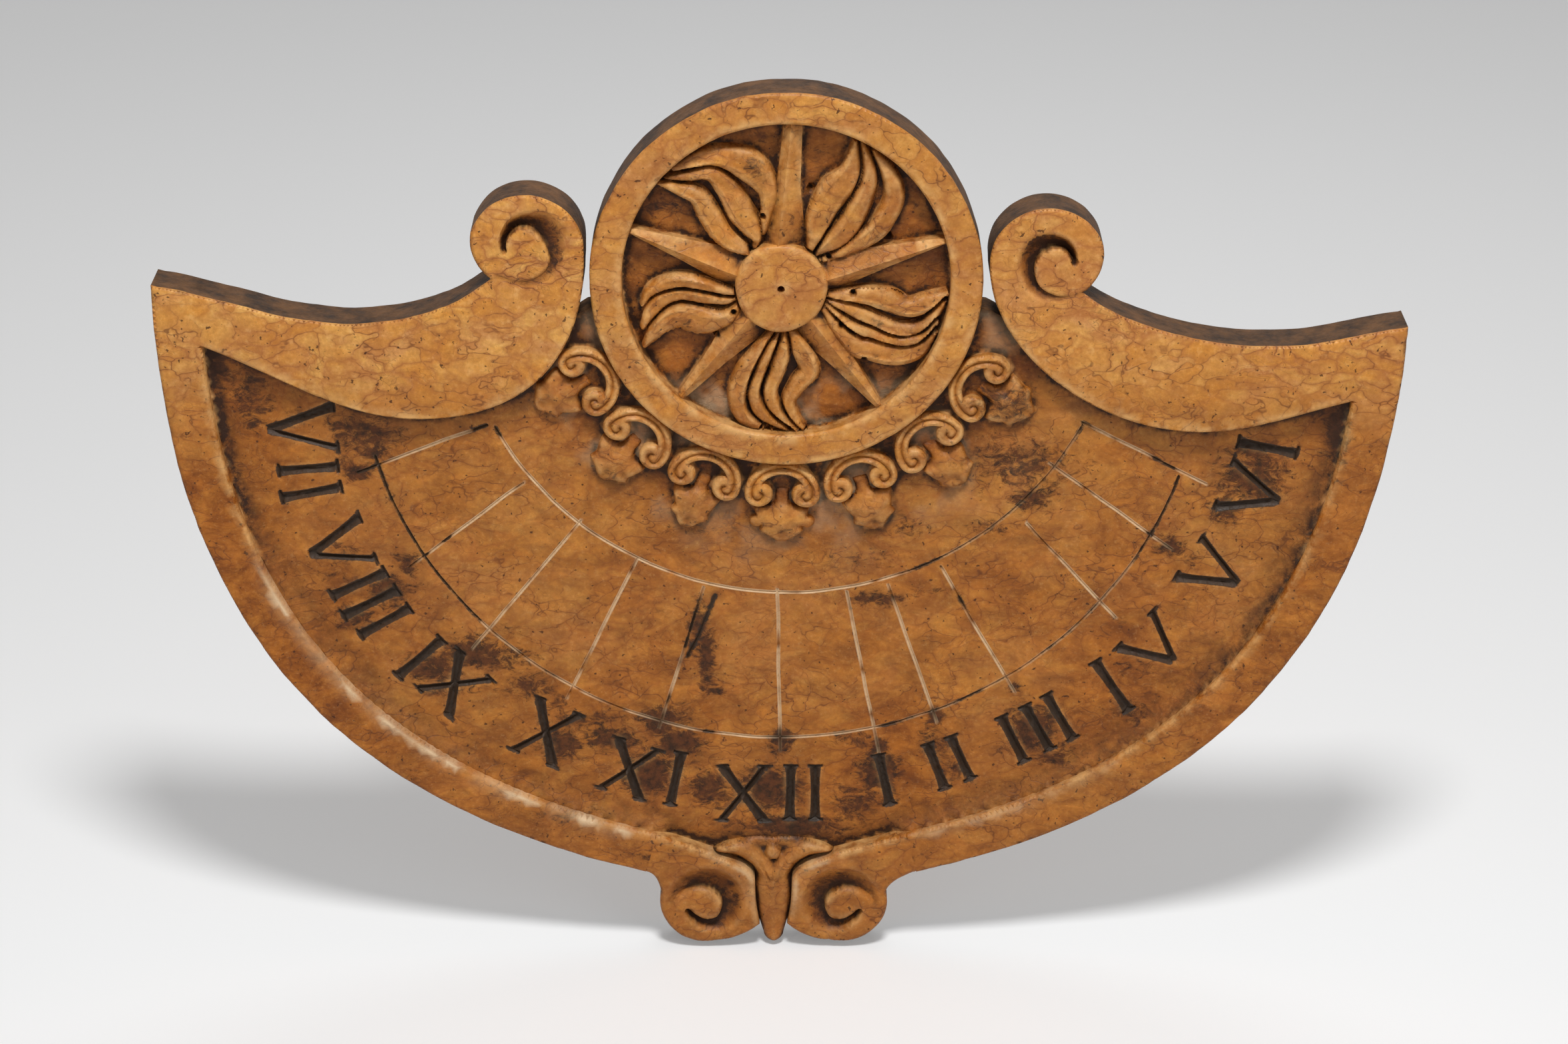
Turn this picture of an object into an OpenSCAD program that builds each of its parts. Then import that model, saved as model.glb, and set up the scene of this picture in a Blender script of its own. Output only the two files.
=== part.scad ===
// Carved stone wall sundial.
// Seen from the front, X runs to the right and Z up. The back lies in the plane Y = 0 and the
// carved face looks along -Y. The origin is where the gnomon's axis meets the back.
// Each carved piece stands on the ground slab, which carries the hour lines and the numerals.

/* [Slab] */
// Thickness of the ground slab, from its back to the dial field
slab_t = 26; // [24:1:36]
// Height of the rim, the wings, the sun ring and the base above the dial field
relief = 14; // [12:1:18]
// Half of the width across the wing tips
half_w = 488; // [480:1:500]
// Height of the side curve's upper end above the gnomon
side_top_z = 5; // [5:1:15]
// How far the side curve's upper handle lies outside the tips
side_swell = 3; // [0:1:8]
// Depth of the side curve's upper handle below the gnomon
shoulder_z = 246; // [230:1:260]
// Half width at the side curve's lower handle
hip_x = 400; // [390:1:415]
// Depth of the side curve's lower handle below the gnomon
hip_z = 440; // [430:1:455]
// Half width of the fan's foot, where the base scrolls begin
foot_x = 112; // [110:1:118]
// Depth of the fan's foot below the gnomon
foot_z = 512; // [506:1:518]
// Width of the rim
rim_w = 36; // [30:1:40]
// Height of the slab's edge in the gap between the sun ring and a wing scroll
gap_floor_z = -20; // [-30:1:-10]

/* [Left wing] */
// Height of the left tip above the gnomon
left_tip_z = 4; // [0:1:5]
// Height of the left scroll's centre
left_eye_z = 32; // [28:1:36]
// Distance of the upper edge's lowest point from the gnomon, sideways
left_dip_x = 335; // [320:1:350]
// Height of the upper edge's lowest point
left_dip_z = -28; // [-34:1:-22]
// Distance of the lower edge's lowest point from the gnomon, sideways
left_belly_x = 285; // [275:1:300]
// Height of the lower edge's lowest point
left_belly_z = -108; // [-112:1:-100]
// Height of the dial field's upper left corner
left_corner_z = -47; // [-55:1:-40]
// Fullness of the curve that joins the scroll to the lower edge
left_fullness = 0.64; // [0.55:0.01:0.68]

/* [Right wing] */
// Height of the right tip above the gnomon
right_tip_z = -31; // [-36:1:-26]
// Height of the right scroll's centre
right_eye_z = 21; // [17:1:25]
// Distance of the upper edge's lowest point from the gnomon, sideways
right_dip_x = 385; // [370:1:400]
// Height of the upper edge's lowest point
right_dip_z = -47; // [-52:1:-42]
// Distance of the lower edge's lowest point from the gnomon, sideways
right_belly_x = 330; // [320:1:345]
// Height of the lower edge's lowest point
right_belly_z = -119; // [-125:1:-112]
// Height of the dial field's upper right corner
right_corner_z = -93; // [-98:1:-88]
// Fullness of the curve that joins the scroll to the lower edge
right_fullness = 0.5; // [0.45:0.01:0.55]

/* [Wing scrolls] */
// Radius of a wing scroll
scroll_r = 45; // [42:1:46]
// Gap between a wing scroll and the sun ring
scroll_gap = 5.1; // [3:0.1:8]
// Radius at the neck, where the scroll turns in above the wing's upper edge
neck_r = 36; // [34:1:38]
// Direction of the neck from the scroll's centre, in degrees below the outward side
neck_angle = 40; // [35:1:45]
// Radius of the boss that the scroll winds round
scroll_eye_r = 17; // [15:1:19]
// Width of a scroll's band outside its winding groove
scroll_band = 12; // [8:1:15]
// Depth of the winding groove of every scroll
groove_d = 7; // [4:1:8]

/* [Sun roundel] */
// Sideways place of the roundel's centre from the gnomon
ring_x = 4; // [2:1:5]
// Height of the roundel's centre above the gnomon
ring_z = 6; // [4:1:8]
// Outer radius of the sun ring
ring_r = 152.5; // [148:0.5:154]
// Width of the sun ring
ring_w = 25; // [20:1:28]
// Depth of the roundel's floor below the dial field
floor_d = 4; // [2:1:7]
// Bevel along the edges of the ring and of the sun boss
edge_bevel = 2; // [1:0.5:3]
// Radius of the sun boss
boss_r = 36.5; // [33:0.5:38]
// Height of the sun boss above the roundel's floor
boss_h = 15; // [13:1:17]
// Width of a ray at the boss
ray_root_w = 32; // [26:1:34]
// Width of a ray at the ring
ray_tip_w = 10; // [6:1:12]
// Height of a ray's crest above the roundel's floor
ray_h = 14; // [11:1:16]
// Slope of a ray's two upper faces, in degrees
ray_slope = 24; // [15:1:30]
// Height of a flame's crest above the roundel's floor
flame_h = 12; // [9:1:15]
// Angle between the roots of two tongues of one flame, in degrees
tongue_pitch = 12.5; // [11:0.5:13]
// Width of a flame's tongue at its root
tongue_w = 9; // [7:0.5:10]
// Distance of the tongues' roots from the sun boss
tongue_start = 15; // [13:1:20]

/* [Leaf collar] */
// Direction of the collar's middle from the roundel's centre, in degrees from +X towards +Z
collar_angle = -91; // [-91.5:0.5:-90]
// Angle between two leaf scrolls, in degrees
collar_step = 20.2; // [19.8:0.1:20.4]
// Outer radius of a leaf scroll's arch
arch_r = 28; // [26:0.5:29]
// Width of a leaf scroll's band
band_w = 9; // [8:0.5:11]
// Radius of the boss at each end of a leaf scroll
arch_eye_r = 10.5; // [9:0.5:11.5]
// Height of a leaf scroll above the dial field
leaf_h = 10; // [8:1:13]
// Half width of a leaf bud
bud_w = 17; // [14:0.5:18]
// Length of a leaf bud outside the leaf scroll
bud_l = 38; // [34:1:42]
// Height of a leaf bud above the dial field
bud_h = 9; // [7:1:12]

/* [Base scrolls] */
// Sideways place of the base's middle line from the gnomon
base_x = -6.5; // [-8:0.5:-5]
// Distance of a base scroll's centre from that line
base_eye_x = 57; // [55:1:60]
// Depth of the base scrolls' centres below the gnomon
base_eye_z = 541; // [538:1:545]
// Radius of a base scroll
base_r = 37.5; // [35:0.5:38.5]
// Radius of the boss that a base scroll winds round
base_eye_r = 16; // [14:1:17]
// Half width of the pendant leaf at its shoulders
pendant_w = 15; // [12:0.5:16]
// Height of the pendant's shoulders above the base scrolls' centres
pendant_rise = 19; // [15:1:22]
// Radius of the pendant leaf's tip
pendant_tip_r = 8; // [6:0.5:9]
// Depth of the pendant leaf's tip below the gnomon
pendant_z = 580; // [574:1:584]
// Reach of the pendant's two upper lobes from its middle line
lobe_reach = 50; // [44:1:54]
// Depth of the lobes' tips below the gnomon
lobe_z = 495; // [492:1:497]
// Height of the pendant's top above the lobes' tips
crown_h = 10; // [8:1:12]

/* [Dial] */
// Radius of the inner hour arc, about the gnomon
inner_arc_r = 259; // [256:1:264]
// Radius of the outer hour arc
outer_arc_r = 332; // [324:1:336]
// How far the outer arc's centre lies below the gnomon
outer_arc_drop = 61; // [55:1:65]
// Width of the cut hour lines
line_w = 2.4; // [1.6:0.1:3]
// Depth of the cut hour lines
line_d = 1.4; // [0.8:0.1:2]
// How far an hour line runs past the outer arc
line_past = 15; // [8:1:20]
// Height of the numerals
numeral_h = 52; // [46:1:56]
// Width of a numeral's stroke
stroke_w = 6; // [4:0.5:7]
// Depth of the numerals
numeral_d = 3; // [1.5:0.5:4]

/* [Fixings] */
// Radius of the gnomon's bore
gnomon_r = 3; // [2:0.25:5]
// Depth of the gnomon's bore from the face of the sun boss
gnomon_depth = 29; // [25:1:30]
// Radius of the four wall pin holes in the back
wall_hole_r = 6; // [4:0.5:8]
// Depth of the wall pin holes
wall_hole_d = 18; // [12:1:18]
// Distance between the wall pin holes, sideways
wall_pitch_x = 460; // [440:5:480]
// Distance between the wall pin holes, up and down
wall_pitch_z = 280; // [260:5:300]
// Depth of the middle of the wall pin holes below the gnomon
wall_mid_z = 200; // [195:1:215]
// Radius of the dowels that pin the carved pieces to the slab
dowel_r = 4; // [3:0.5:5]
// How deep a dowel stands in the slab and in the piece, each
dowel_bite = 8; // [5:1:9]
// Clearance between a dowel and the wall of its hole
dowel_gap = 0.1; // [0.05:0.05:0.2]

/* [Hidden] */
$fn = 96;
STONE = [0.80, 0.55, 0.29];
STONE_DARK = [0.70, 0.46, 0.24];
STONE_PALE = [0.85, 0.62, 0.36];
BRONZE = [0.66, 0.50, 0.28];

// Directions of the straight rays and of the flames' tips, in degrees from +X towards +Z
ray_angles = [86, 17, -52, -131, 158];
flame_angles = [61, -3, -84, -157, 138];
// Directions of the hour lines from VII to VI, in degrees from straight down
hour_angles = [-68.5, -52, -38.5, -25.5, -16, 0, 10.5, 18.3, 29, 41.7, 53.5, 62.5];
// The numerals, with the directions and the distances of their middles from the gnomon
numerals = ["VII", "VIII", "IX", "X", "XI", "XII", "I", "II", "III", "IV", "V", "VI"];
numeral_angles = [-69.5, -53.5, -41, -26.3, -15.3, -0.8, 11, 19, 28.5, 41, 54.3, 65.5];
numeral_radii = [402, 420, 432, 430, 440, 444, 440, 436, 436, 440, 421, 412];
leaves = 7;

// Clear gap left between two carved pieces that stand side by side
joint_gap = 0.3;
// Spans that only have to reach past what they cut
past = 1;
far = 700;

floor_y = slab_t - floor_d;
ring_c = [ring_x, ring_z];
inner_r = ring_r - ring_w;
ray_reach = inner_r + norm(ring_c);
middle_leaf = (leaves + 1) / 2;

function polar(r, a) = r * [cos(a), sin(a)];
function unit(v) = v / norm(v);
function flip(side, p) = [side * p[0], p[1]];
function backwards(v) = [for (i = [len(v) - 1 : -1 : 0]) v[i]];
function both_sides(half) = concat(half, [for (p = backwards(half)) flip(-1, p)]);
function arc(c, r, a0, a1, n = 30) = [for (i = [0 : n]) c + polar(r, a0 + (a1 - a0) * i / n)];
function bezier(p, t) = pow(1 - t, 3) * p[0] + 3 * t * pow(1 - t, 2) * p[1]
    + 3 * t * t * (1 - t) * p[2] + pow(t, 3) * p[3];
function curve(p, n = 20) = [for (i = [0 : n]) bezier(p, i / n)];

// The fan's right side, from the tip down to the foot, and the rim's inner edge beside it
side_curve = curve([[half_w, side_top_z], [half_w + side_swell, -shoulder_z], [hip_x, -hip_z],
    [foot_x, -foot_z]], 40);
inner_curve = [for (i = [0 : len(side_curve) - 1])
    let (before = side_curve[max(i - 1, 0)], after = side_curve[min(i + 1, len(side_curve) - 1)],
        along = unit(after - before))
    side_curve[i] + rim_w * [along[1], -along[0]]];
foot_out = side_curve[len(side_curve) - 1];
foot_in = inner_curve[len(inner_curve) - 1];
function inner_x(z) = lookup(z, [for (p = inner_curve) [p[1], p[0]]]);

// The values of one wing, told apart by its side: -1 is the left, 1 the right
function tip_z(side) = side < 0 ? left_tip_z : right_tip_z;
function eye(side) =
    let (z = side < 0 ? left_eye_z : right_eye_z, reach = ring_r + scroll_gap + scroll_r)
    [side * ring_x + sqrt(pow(reach, 2) - pow(z - ring_z, 2)), z];
function dip(side) = side < 0 ? [left_dip_x, left_dip_z] : [right_dip_x, right_dip_z];
function belly(side) = side < 0 ? [left_belly_x, left_belly_z] : [right_belly_x, right_belly_z];
function fullness(side) = side < 0 ? left_fullness : right_fullness;
function corner_z(side) = side < 0 ? left_corner_z : right_corner_z;
function corner(side) = [inner_x(corner_z(side)), corner_z(side)];

// Outline of a wing, drawn for the right-hand side and longer than the fan at its outer end
function wing_points(side) =
    let (tip = [half_w, tip_z(side)], neck = eye(side) + polar(neck_r, -neck_angle),
        flank = eye(side) - [scroll_r, 0], rise = dip(side) - neck, sweep = tip - dip(side),
        reach = fullness(side) * (belly(side) - flank), drop = corner(side) - belly(side),
        turn = 20, swell = (scroll_r - neck_r) / (turn + neck_angle))
    concat(
        [tip + [half_w, 0]],
        curve([tip + [side_swell + past, 0], tip - [0.4 * sweep[0], 0.3 * sweep[1]],
            dip(side) + [0.4 * sweep[0], 0], dip(side)]),
        curve([dip(side), dip(side) - [0.41 * rise[0], 0],
            neck + [0.22 * rise[0], 0.6 * rise[1]], neck]),
        [for (a = [5 - neck_angle : 5 : turn])
            eye(side) + polar(neck_r + swell * (a + neck_angle), a)],
        arc(eye(side), scroll_r, turn + 5, 180),
        curve([flank, flank + [0, reach[1]], belly(side) - [reach[0], 0], belly(side)]),
        curve([belly(side), belly(side) + [0.36 * drop[0], 0],
            corner(side) - [0.36 * drop[0], 0.4 * drop[1]], corner(side)]),
        [corner(side) + [half_w, 0]]);

// Half outline of the pendant leaf from its tip up to the middle of its top, made wider by grow
function pendant_points(grow) =
    let (low = [0, pendant_tip_r - pendant_z], side = [pendant_w + grow, pendant_rise - base_eye_z],
        lobe = [lobe_reach + grow, -lobe_z], stem = side[1] - low[1], flare = lobe[1] - side[1],
        round = 0.04 * lobe_reach, top = crown_h + grow)
    concat(
        arc(low, pendant_tip_r + grow, -90, 0, 8),
        curve([low + [pendant_tip_r + grow, 0], low + [pendant_tip_r + grow, 0.44 * stem],
            side - [0, 0.4 * stem], side], 10),
        curve([side, side + [0, 0.5 * flare], lobe - [0.36 * lobe_reach, 0.3 * flare + grow],
            lobe - [round, round + grow]], 10),
        curve([lobe + [0, grow], lobe + [-0.24 * lobe_reach, top], [0.28 * lobe_reach, top + round
            - lobe_z], [0, top - lobe_z]], 10));

function base_eye(side) = [base_x + side * base_eye_x, -base_eye_z];
function leaf_angle(k) = collar_angle + (k - middle_leaf) * collar_step;

// The places of the dowels under each carved piece
function rim_pins(side) = [for (i = [9, 20, 31]) flip(side, (side_curve[i] + inner_curve[i]) / 2)];
function wing_pins(side) = [flip(side, eye(side)), flip(side, (dip(side) + belly(side)) / 2),
    flip(side, ([half_w, tip_z(side)] + corner(side)) / 2)];
ring_pins = [for (a = [45 : 90 : 315]) ring_c + polar(ring_r - ring_w / 2, a)];
boss_pins = [for (side = [-1, 1]) [side * (gnomon_r + boss_r) / 2, 0]];
pendant_pins = [[base_x, -base_eye_z]];

// Puts a flat shape, drawn as X and Z, at a height above the back and gives it a thickness
module raised(y, h) {
    translate([0, -y, 0]) rotate([90, 0, 0]) linear_extrude(h) children();
}

module bore(p, y, h, r) {
    translate([p[0], -y, p[1]]) rotate([90, 0, 0]) cylinder(h = h, r = r);
}

// The space of the dowels at a list of places, halfway into what lies on either side of y
module dowels(places, y, gap) {
    for (p = places) bore(p, y - dowel_bite, 2 * dowel_bite, dowel_r + gap);
}

module side_of(side) {
    mirror([side < 0 ? 1 : 0, 0]) children();
}

// Everything inside the fan's right side, open upwards
module fan_half() {
    polygon(concat([[-past, -foot_z]], backwards(side_curve), [[half_w, far], [-past, far]]));
}

module wing_outline(side) {
    side_of(side) intersection() {
        polygon(wing_points(side));
        fan_half();
    }
}

// One half of the dial field and the rim, up to a line hidden under the wing and the ring
module field_outline(side) {
    side_of(side) intersection() {
        fan_half();
        polygon([[-far, -far], [far, -far], [far, corner_z(side)], corner(side), belly(side),
            [eye(side)[0] - scroll_r, gap_floor_z], [0, 0], [-far, 0]]);
    }
}

module rim_outline(side) {
    side_of(side) intersection() {
        polygon(concat(inner_curve, backwards(side_curve)));
        translate([0, corner_z(side) - joint_gap - far]) square(far);
    }
}

module pendant_outline(grow = 0) {
    translate([base_x, 0]) polygon(both_sides(pendant_points(grow)));
}

// A base scroll with the neck that joins it to the fan's foot, drawn for the right-hand side
module base_outline(side) {
    middle = side * base_x;
    c = [middle + base_eye_x, -base_eye_z];
    flank = c + polar(base_r - past, 12);
    side_of(side) {
        translate(c) circle(base_r);
        polygon(concat([[middle, -base_eye_z], c],
            curve([flank, flank + [2, 12], foot_out - [8, 2], foot_out], 10),
            [foot_in, [middle + lobe_reach - past, -lobe_z], [middle, -lobe_z - crown_h / 2]]));
    }
}

module slab_outline() {
    translate(ring_c) circle(ring_r);
    for (side = [-1, 1]) {
        field_outline(side);
        wing_outline(side);
        base_outline(side);
    }
    pendant_outline();
    translate([base_x - base_eye_x, -base_eye_z])
        square([2 * base_eye_x, base_eye_z - foot_z + past]);
}

// A groove that winds round a boss and tapers out at both of its ends
module winding(c, r, w, a0, a1) {
    n = 24;
    polygon(concat(arc(c, r, a1, a0, n), [for (i = [1 : n - 1])
        c + polar(r + w * pow(sin(180 * i / n), 0.7), a0 + (a1 - a0) * i / n)]));
}

function downwards(a) = [sin(a), -cos(a)];

module arc_line(c, r) {
    intersection() {
        translate(c) difference() {
            circle(r + line_w / 2);
            circle(r - line_w / 2);
        }
        polygon([[0, 0], far * downwards(hour_angles[0]), [-far, -far], [far, -far],
            far * downwards(hour_angles[len(hour_angles) - 1])]);
    }
}

// An hour line from the inner arc to a little past the outer arc
module hour_line(a) {
    end = outer_arc_drop * cos(a) + sqrt(pow(outer_arc_r, 2) - pow(outer_arc_drop * sin(a), 2));
    rotate(a) translate([-line_w / 2, -end - line_past])
        square([line_w, end + line_past - inner_arc_r]);
}

function letter_w(c) = numeral_h * (c == "I" ? 0.38 : c == "V" ? 0.78 : 0.9);
function rest_w(word, i) = i == len(word) ? 0 : letter_w(word[i]) + rest_w(word, i + 1);

// A straight stroke between two points of a letter
module stroke(a, b, w) {
    along = unit(b - a);
    across = w / 2 * [-along[1], along[0]];
    polygon([a - across, b - across, b + across, a + across]);
}

// A letter of straight strokes: broad down strokes, thin up strokes and short serifs
module letter(c) {
    top = numeral_h / 2;
    arm = letter_w(c) / 2 - stroke_w;
    thin = 0.6 * stroke_w;
    feet = c == "I" ? [[0, top], [0, -top]] : c == "V" ? [[-arm, top], [arm, top]]
        : [[-arm, top], [arm, top], [-arm, -top], [arm, -top]];
    if (c == "I") stroke([0, top], [0, -top], stroke_w);
    if (c == "V") {
        stroke([-arm, top], [0, -top], stroke_w);
        stroke([arm, top], [0, -top], thin);
    }
    if (c == "X") {
        stroke([-arm, top], [arm, -top], stroke_w);
        stroke([arm, top], [-arm, -top], thin);
    }
    for (p = feet) stroke(p - [stroke_w, 0], p + [stroke_w, 0], thin / 2);
}

module numeral(word, a, r) {
    rotate(a) translate([0, -r]) for (i = [0 : len(word) - 1])
        translate([rest_w(word, 0) / 2 - rest_w(word, i) + letter_w(word[i]) / 2, 0])
            letter(word[i]);
}

// The slab's ground with the roundel's floor sunk into it, the dial cut into it and its holes
module dial_slab() {
    color(STONE) difference() {
        raised(0, slab_t) slab_outline();
        raised(floor_y, floor_d + past) translate(ring_c) circle(inner_r);
        raised(slab_t - line_d, line_d + past) {
            arc_line([0, 0], inner_arc_r);
            arc_line([0, -outer_arc_drop], outer_arc_r);
            for (a = hour_angles) hour_line(a);
        }
        raised(slab_t - numeral_d, numeral_d + past)
            for (i = [0 : len(numerals) - 1])
                numeral(numerals[i], numeral_angles[i], numeral_radii[i]);
        bore([0, 0], floor_y + boss_h - gnomon_depth, gnomon_depth, gnomon_r);
        for (x = [-1, 1], z = [-1, 1])
            bore([x * wall_pitch_x / 2, z * wall_pitch_z / 2 - wall_mid_z], -past,
                wall_hole_d + past, wall_hole_r);
        all_dowels(dowel_gap);
    }
}

module rim(side) {
    color(STONE_PALE) difference() {
        raised(slab_t, relief) rim_outline(side);
        dowels(rim_pins(side), slab_t, dowel_gap);
    }
}

module wing(side) {
    color(STONE) difference() {
        raised(slab_t, relief) wing_outline(side);
        raised(slab_t + relief - groove_d, groove_d + past) side_of(side)
            winding(eye(side), scroll_eye_r, scroll_r - scroll_eye_r - scroll_band, -30, 215);
        dowels(wing_pins(side), slab_t, dowel_gap);
    }
}

// The plain ring round the sun, with bevelled edges
module sun_ring() {
    top = slab_t + relief;
    color(STONE_PALE) difference() {
        translate([ring_x, 0, ring_z]) rotate([90, 0, 0]) rotate_extrude()
            polygon([[inner_r, slab_t], [ring_r, slab_t], [ring_r, top - edge_bevel],
                [ring_r - edge_bevel, top], [inner_r + edge_bevel, top], [inner_r, top - edge_bevel]]);
        dowels(ring_pins, slab_t, dowel_gap);
    }
}

// The boss that the gnomon stands in
module sun_boss() {
    top = floor_y + boss_h;
    color(STONE_DARK) difference() {
        rotate([90, 0, 0]) rotate_extrude()
            polygon([[0, floor_y], [boss_r, floor_y], [boss_r, top - edge_bevel],
                [boss_r - edge_bevel, top], [0, top]]);
        bore([0, 0], top - gnomon_depth, gnomon_depth + past, gnomon_r);
        dowels(boss_pins, floor_y, dowel_gap);
    }
}

// The room between the sun boss and the ring
module roundel_field() {
    difference() {
        translate(ring_c) circle(inner_r - joint_gap);
        circle(boss_r + joint_gap);
    }
}

// A ray's outline, tapering from the boss to the ring, made wider by grow
module ray_outline(a, grow = 0) {
    start = boss_r / 2;
    taper = (ray_root_w - ray_tip_w) / 2 / (ray_reach - boss_r);
    root = ray_root_w / 2 + grow + taper * (boss_r - start);
    tip = ray_tip_w / 2 + grow;
    rotate(a) polygon([[start, -root], [ray_reach, -tip], [ray_reach, tip], [start, root]]);
}

// A straight ray whose two upper faces fall away from its crest
module ray(a) {
    top = floor_y + ray_h;
    edge = top - ray_root_w * tan(ray_slope);
    color(STONE) intersection() {
        raised(floor_y, ray_h) intersection() {
            roundel_field();
            ray_outline(a);
        }
        rotate([0, -a, 0]) rotate([90, 0, 90]) linear_extrude(ray_reach)
            polygon([[-top, 0], [-edge, -ray_root_w], [0, -ray_root_w], [0, ray_root_w],
                [-edge, ray_root_w]]);
    }
}

// Direction of the middle between a ray and the next one
function between_rays(k) =
    ray_angles[k] - (ray_angles[k] - ray_angles[(k + 1) % len(ray_angles)] + 720) % 360 / 2;

// Distance from the gnomon to just inside the ring, in one direction
function ring_reach(a) =
    let (off = a - atan2(ring_z, ring_x), shift = norm(ring_c), r = inner_r - tongue_w / 4)
    shift * cos(off) + sqrt(pow(r, 2) - pow(shift * sin(off), 2));

// A tongue's spine: it starts beside the others and swings round to their common tip
tongue_steps = 12;
function tongue_spine(k, i) =
    let (start = boss_r + tongue_start, end = ring_reach(flame_angles[k]), run = end - start,
        root = between_rays(k) + i * tongue_pitch, lean = i * tongue_pitch / 6)
    curve([polar(start, root), polar(start + 0.4 * run, root + lean - 3),
        polar(start + 0.72 * run, root - lean - 4), polar(end, flame_angles[k])], tongue_steps);

// The stretch of a tongue between two steps of its spine, as wide as a share of the whole
module tongue(spine, share, first, last) {
    half = [for (i = [first : last])
        let (along = unit(spine[min(i + 1, last)] - spine[max(i - 1, first)]))
        share * tongue_w * (0.2 + 0.3 * pow(1 - i / tongue_steps, 0.7)) * [-along[1], along[0]]];
    part = [for (i = [first : last]) spine[i]];
    polygon(concat(part - half, backwards(part + half)));
}

// Three curling tongues that meet at one tip, each with a narrower crest on it
module flame(k) {
    ledge = 0.6 * flame_h;
    color(STONE_PALE) for (i = [-1 : 1]) {
        raised(floor_y, ledge) tongue(tongue_spine(k, i), 1, 0, tongue_steps);
        raised(floor_y + ledge, flame_h - ledge)
            tongue(tongue_spine(k, i), 0.5, 1, tongue_steps - 2);
    }
}

// Moves a flat shape to the place of one leaf scroll, with its back towards the ring
module at_leaf(k) {
    translate(ring_c) rotate(leaf_angle(k) - 90) translate([0, ring_r + joint_gap + arch_r])
        children();
}

// The half of a ring that is turned towards the sun
module arch(r, w) {
    difference() {
        circle(r);
        circle(r - w);
        translate([-far, 0]) square([2 * far, far]);
    }
}

// A C-scroll with its back on the ring and its two ends turned in to round bosses
module leaf_scroll(k) {
    groove = band_w / 5;
    color(STONE) difference() {
        raised(slab_t, leaf_h) at_leaf(k) {
            arch(arch_r, band_w);
            for (side = [-1, 1]) translate([side * (arch_r - arch_eye_r), 0]) circle(arch_eye_r);
        }
        raised(slab_t + leaf_h - groove, groove + past) at_leaf(k)
            arch(arch_r - 2 * groove, groove);
    }
}

// A leaf bud whose neck comes out of the mouth of its leaf scroll
module leaf_bud(k) {
    neck = arch_r - 2 * arch_eye_r - past;
    foot = arch_eye_r + past;
    shoulder = foot + 0.4 * bud_l;
    half = concat([[neck, -arch_eye_r / 2]],
        curve([[neck, foot - 4], [neck, foot + 3], [bud_w, foot + 2], [bud_w, shoulder]], 8),
        curve([[bud_w, shoulder], [bud_w, shoulder + 0.3 * bud_l], [0.4 * bud_w, foot + bud_l],
            [0, foot + bud_l]], 8));
    color(STONE_PALE) raised(slab_t, bud_h) at_leaf(k) {
        polygon(both_sides(half));
        if (k == middle_leaf) for (side = [-1, 1])
            translate([side * (bud_w + 2), shoulder - 2]) circle(bud_w / 3);
    }
}

module base_scroll(side) {
    width = base_r - base_eye_r - 9;
    color(STONE) difference() {
        raised(slab_t, relief) difference() {
            base_outline(side);
            pendant_outline(joint_gap);
            side_of(side) translate([-joint_gap, 0]) polygon([foot_out, [half_w, 0], foot_in]);
        }
        raised(slab_t + relief - groove_d, groove_d + past) side_of(side)
            winding(flip(side, base_eye(side)), base_eye_r, width, -150, 130);
        dowels([base_eye(side)], slab_t, dowel_gap);
    }
}

// The leaf that hangs between the base scrolls, with a berry where its lobes part
module base_pendant() {
    color(STONE_PALE) {
        difference() {
            raised(slab_t, relief - 2) pendant_outline();
            dowels(pendant_pins, slab_t, dowel_gap);
        }
        bore([base_x, -lobe_z], slab_t, relief, pendant_w / 3);
    }
}

module all_dowels(gap) {
    for (side = [-1, 1]) {
        dowels(rim_pins(side), slab_t, gap);
        dowels(wing_pins(side), slab_t, gap);
        dowels([base_eye(side)], slab_t, gap);
    }
    dowels(ring_pins, slab_t, gap);
    dowels(pendant_pins, slab_t, gap);
    dowels(boss_pins, floor_y, gap);
}

// Bronze dowels, hidden in the joints between the slab and the larger carved pieces
module bedding_dowels() {
    color(BRONZE) all_dowels(0);
}

dial_slab();
rim(-1);  // rim_left
rim(1);  // rim_right
wing(-1);  // wing_left
wing(1);  // wing_right
sun_ring();
sun_boss();
for (i = [0 : 4]) {
    ray(ray_angles[i]);
    flame(i);
}
for (k = [1 : leaves]) {
    leaf_scroll(k);
    leaf_bud(k);
}
base_scroll(-1);  // base_scroll_left
base_scroll(1);  // base_scroll_right
base_pendant();
bedding_dowels();
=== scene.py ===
# Carved stone sundial: every carved piece of the imported frame gets a finished surface here.
# Plan lengths are in millimetres: X to the right, Z up, and heights above the slab's back.
# A piece is an outline in the plan with a height at each place. Its points also carry how brown,
# dirty, stained, pale or dark the stone is there, with painted shade in its hollows and along walls
# and painted highlights on its crests and worn edges, and one procedural marble reads those values.
import math

import bpy
import numpy as np
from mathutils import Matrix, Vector
from mathutils.geometry import delaunay_2d_cdt


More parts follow.
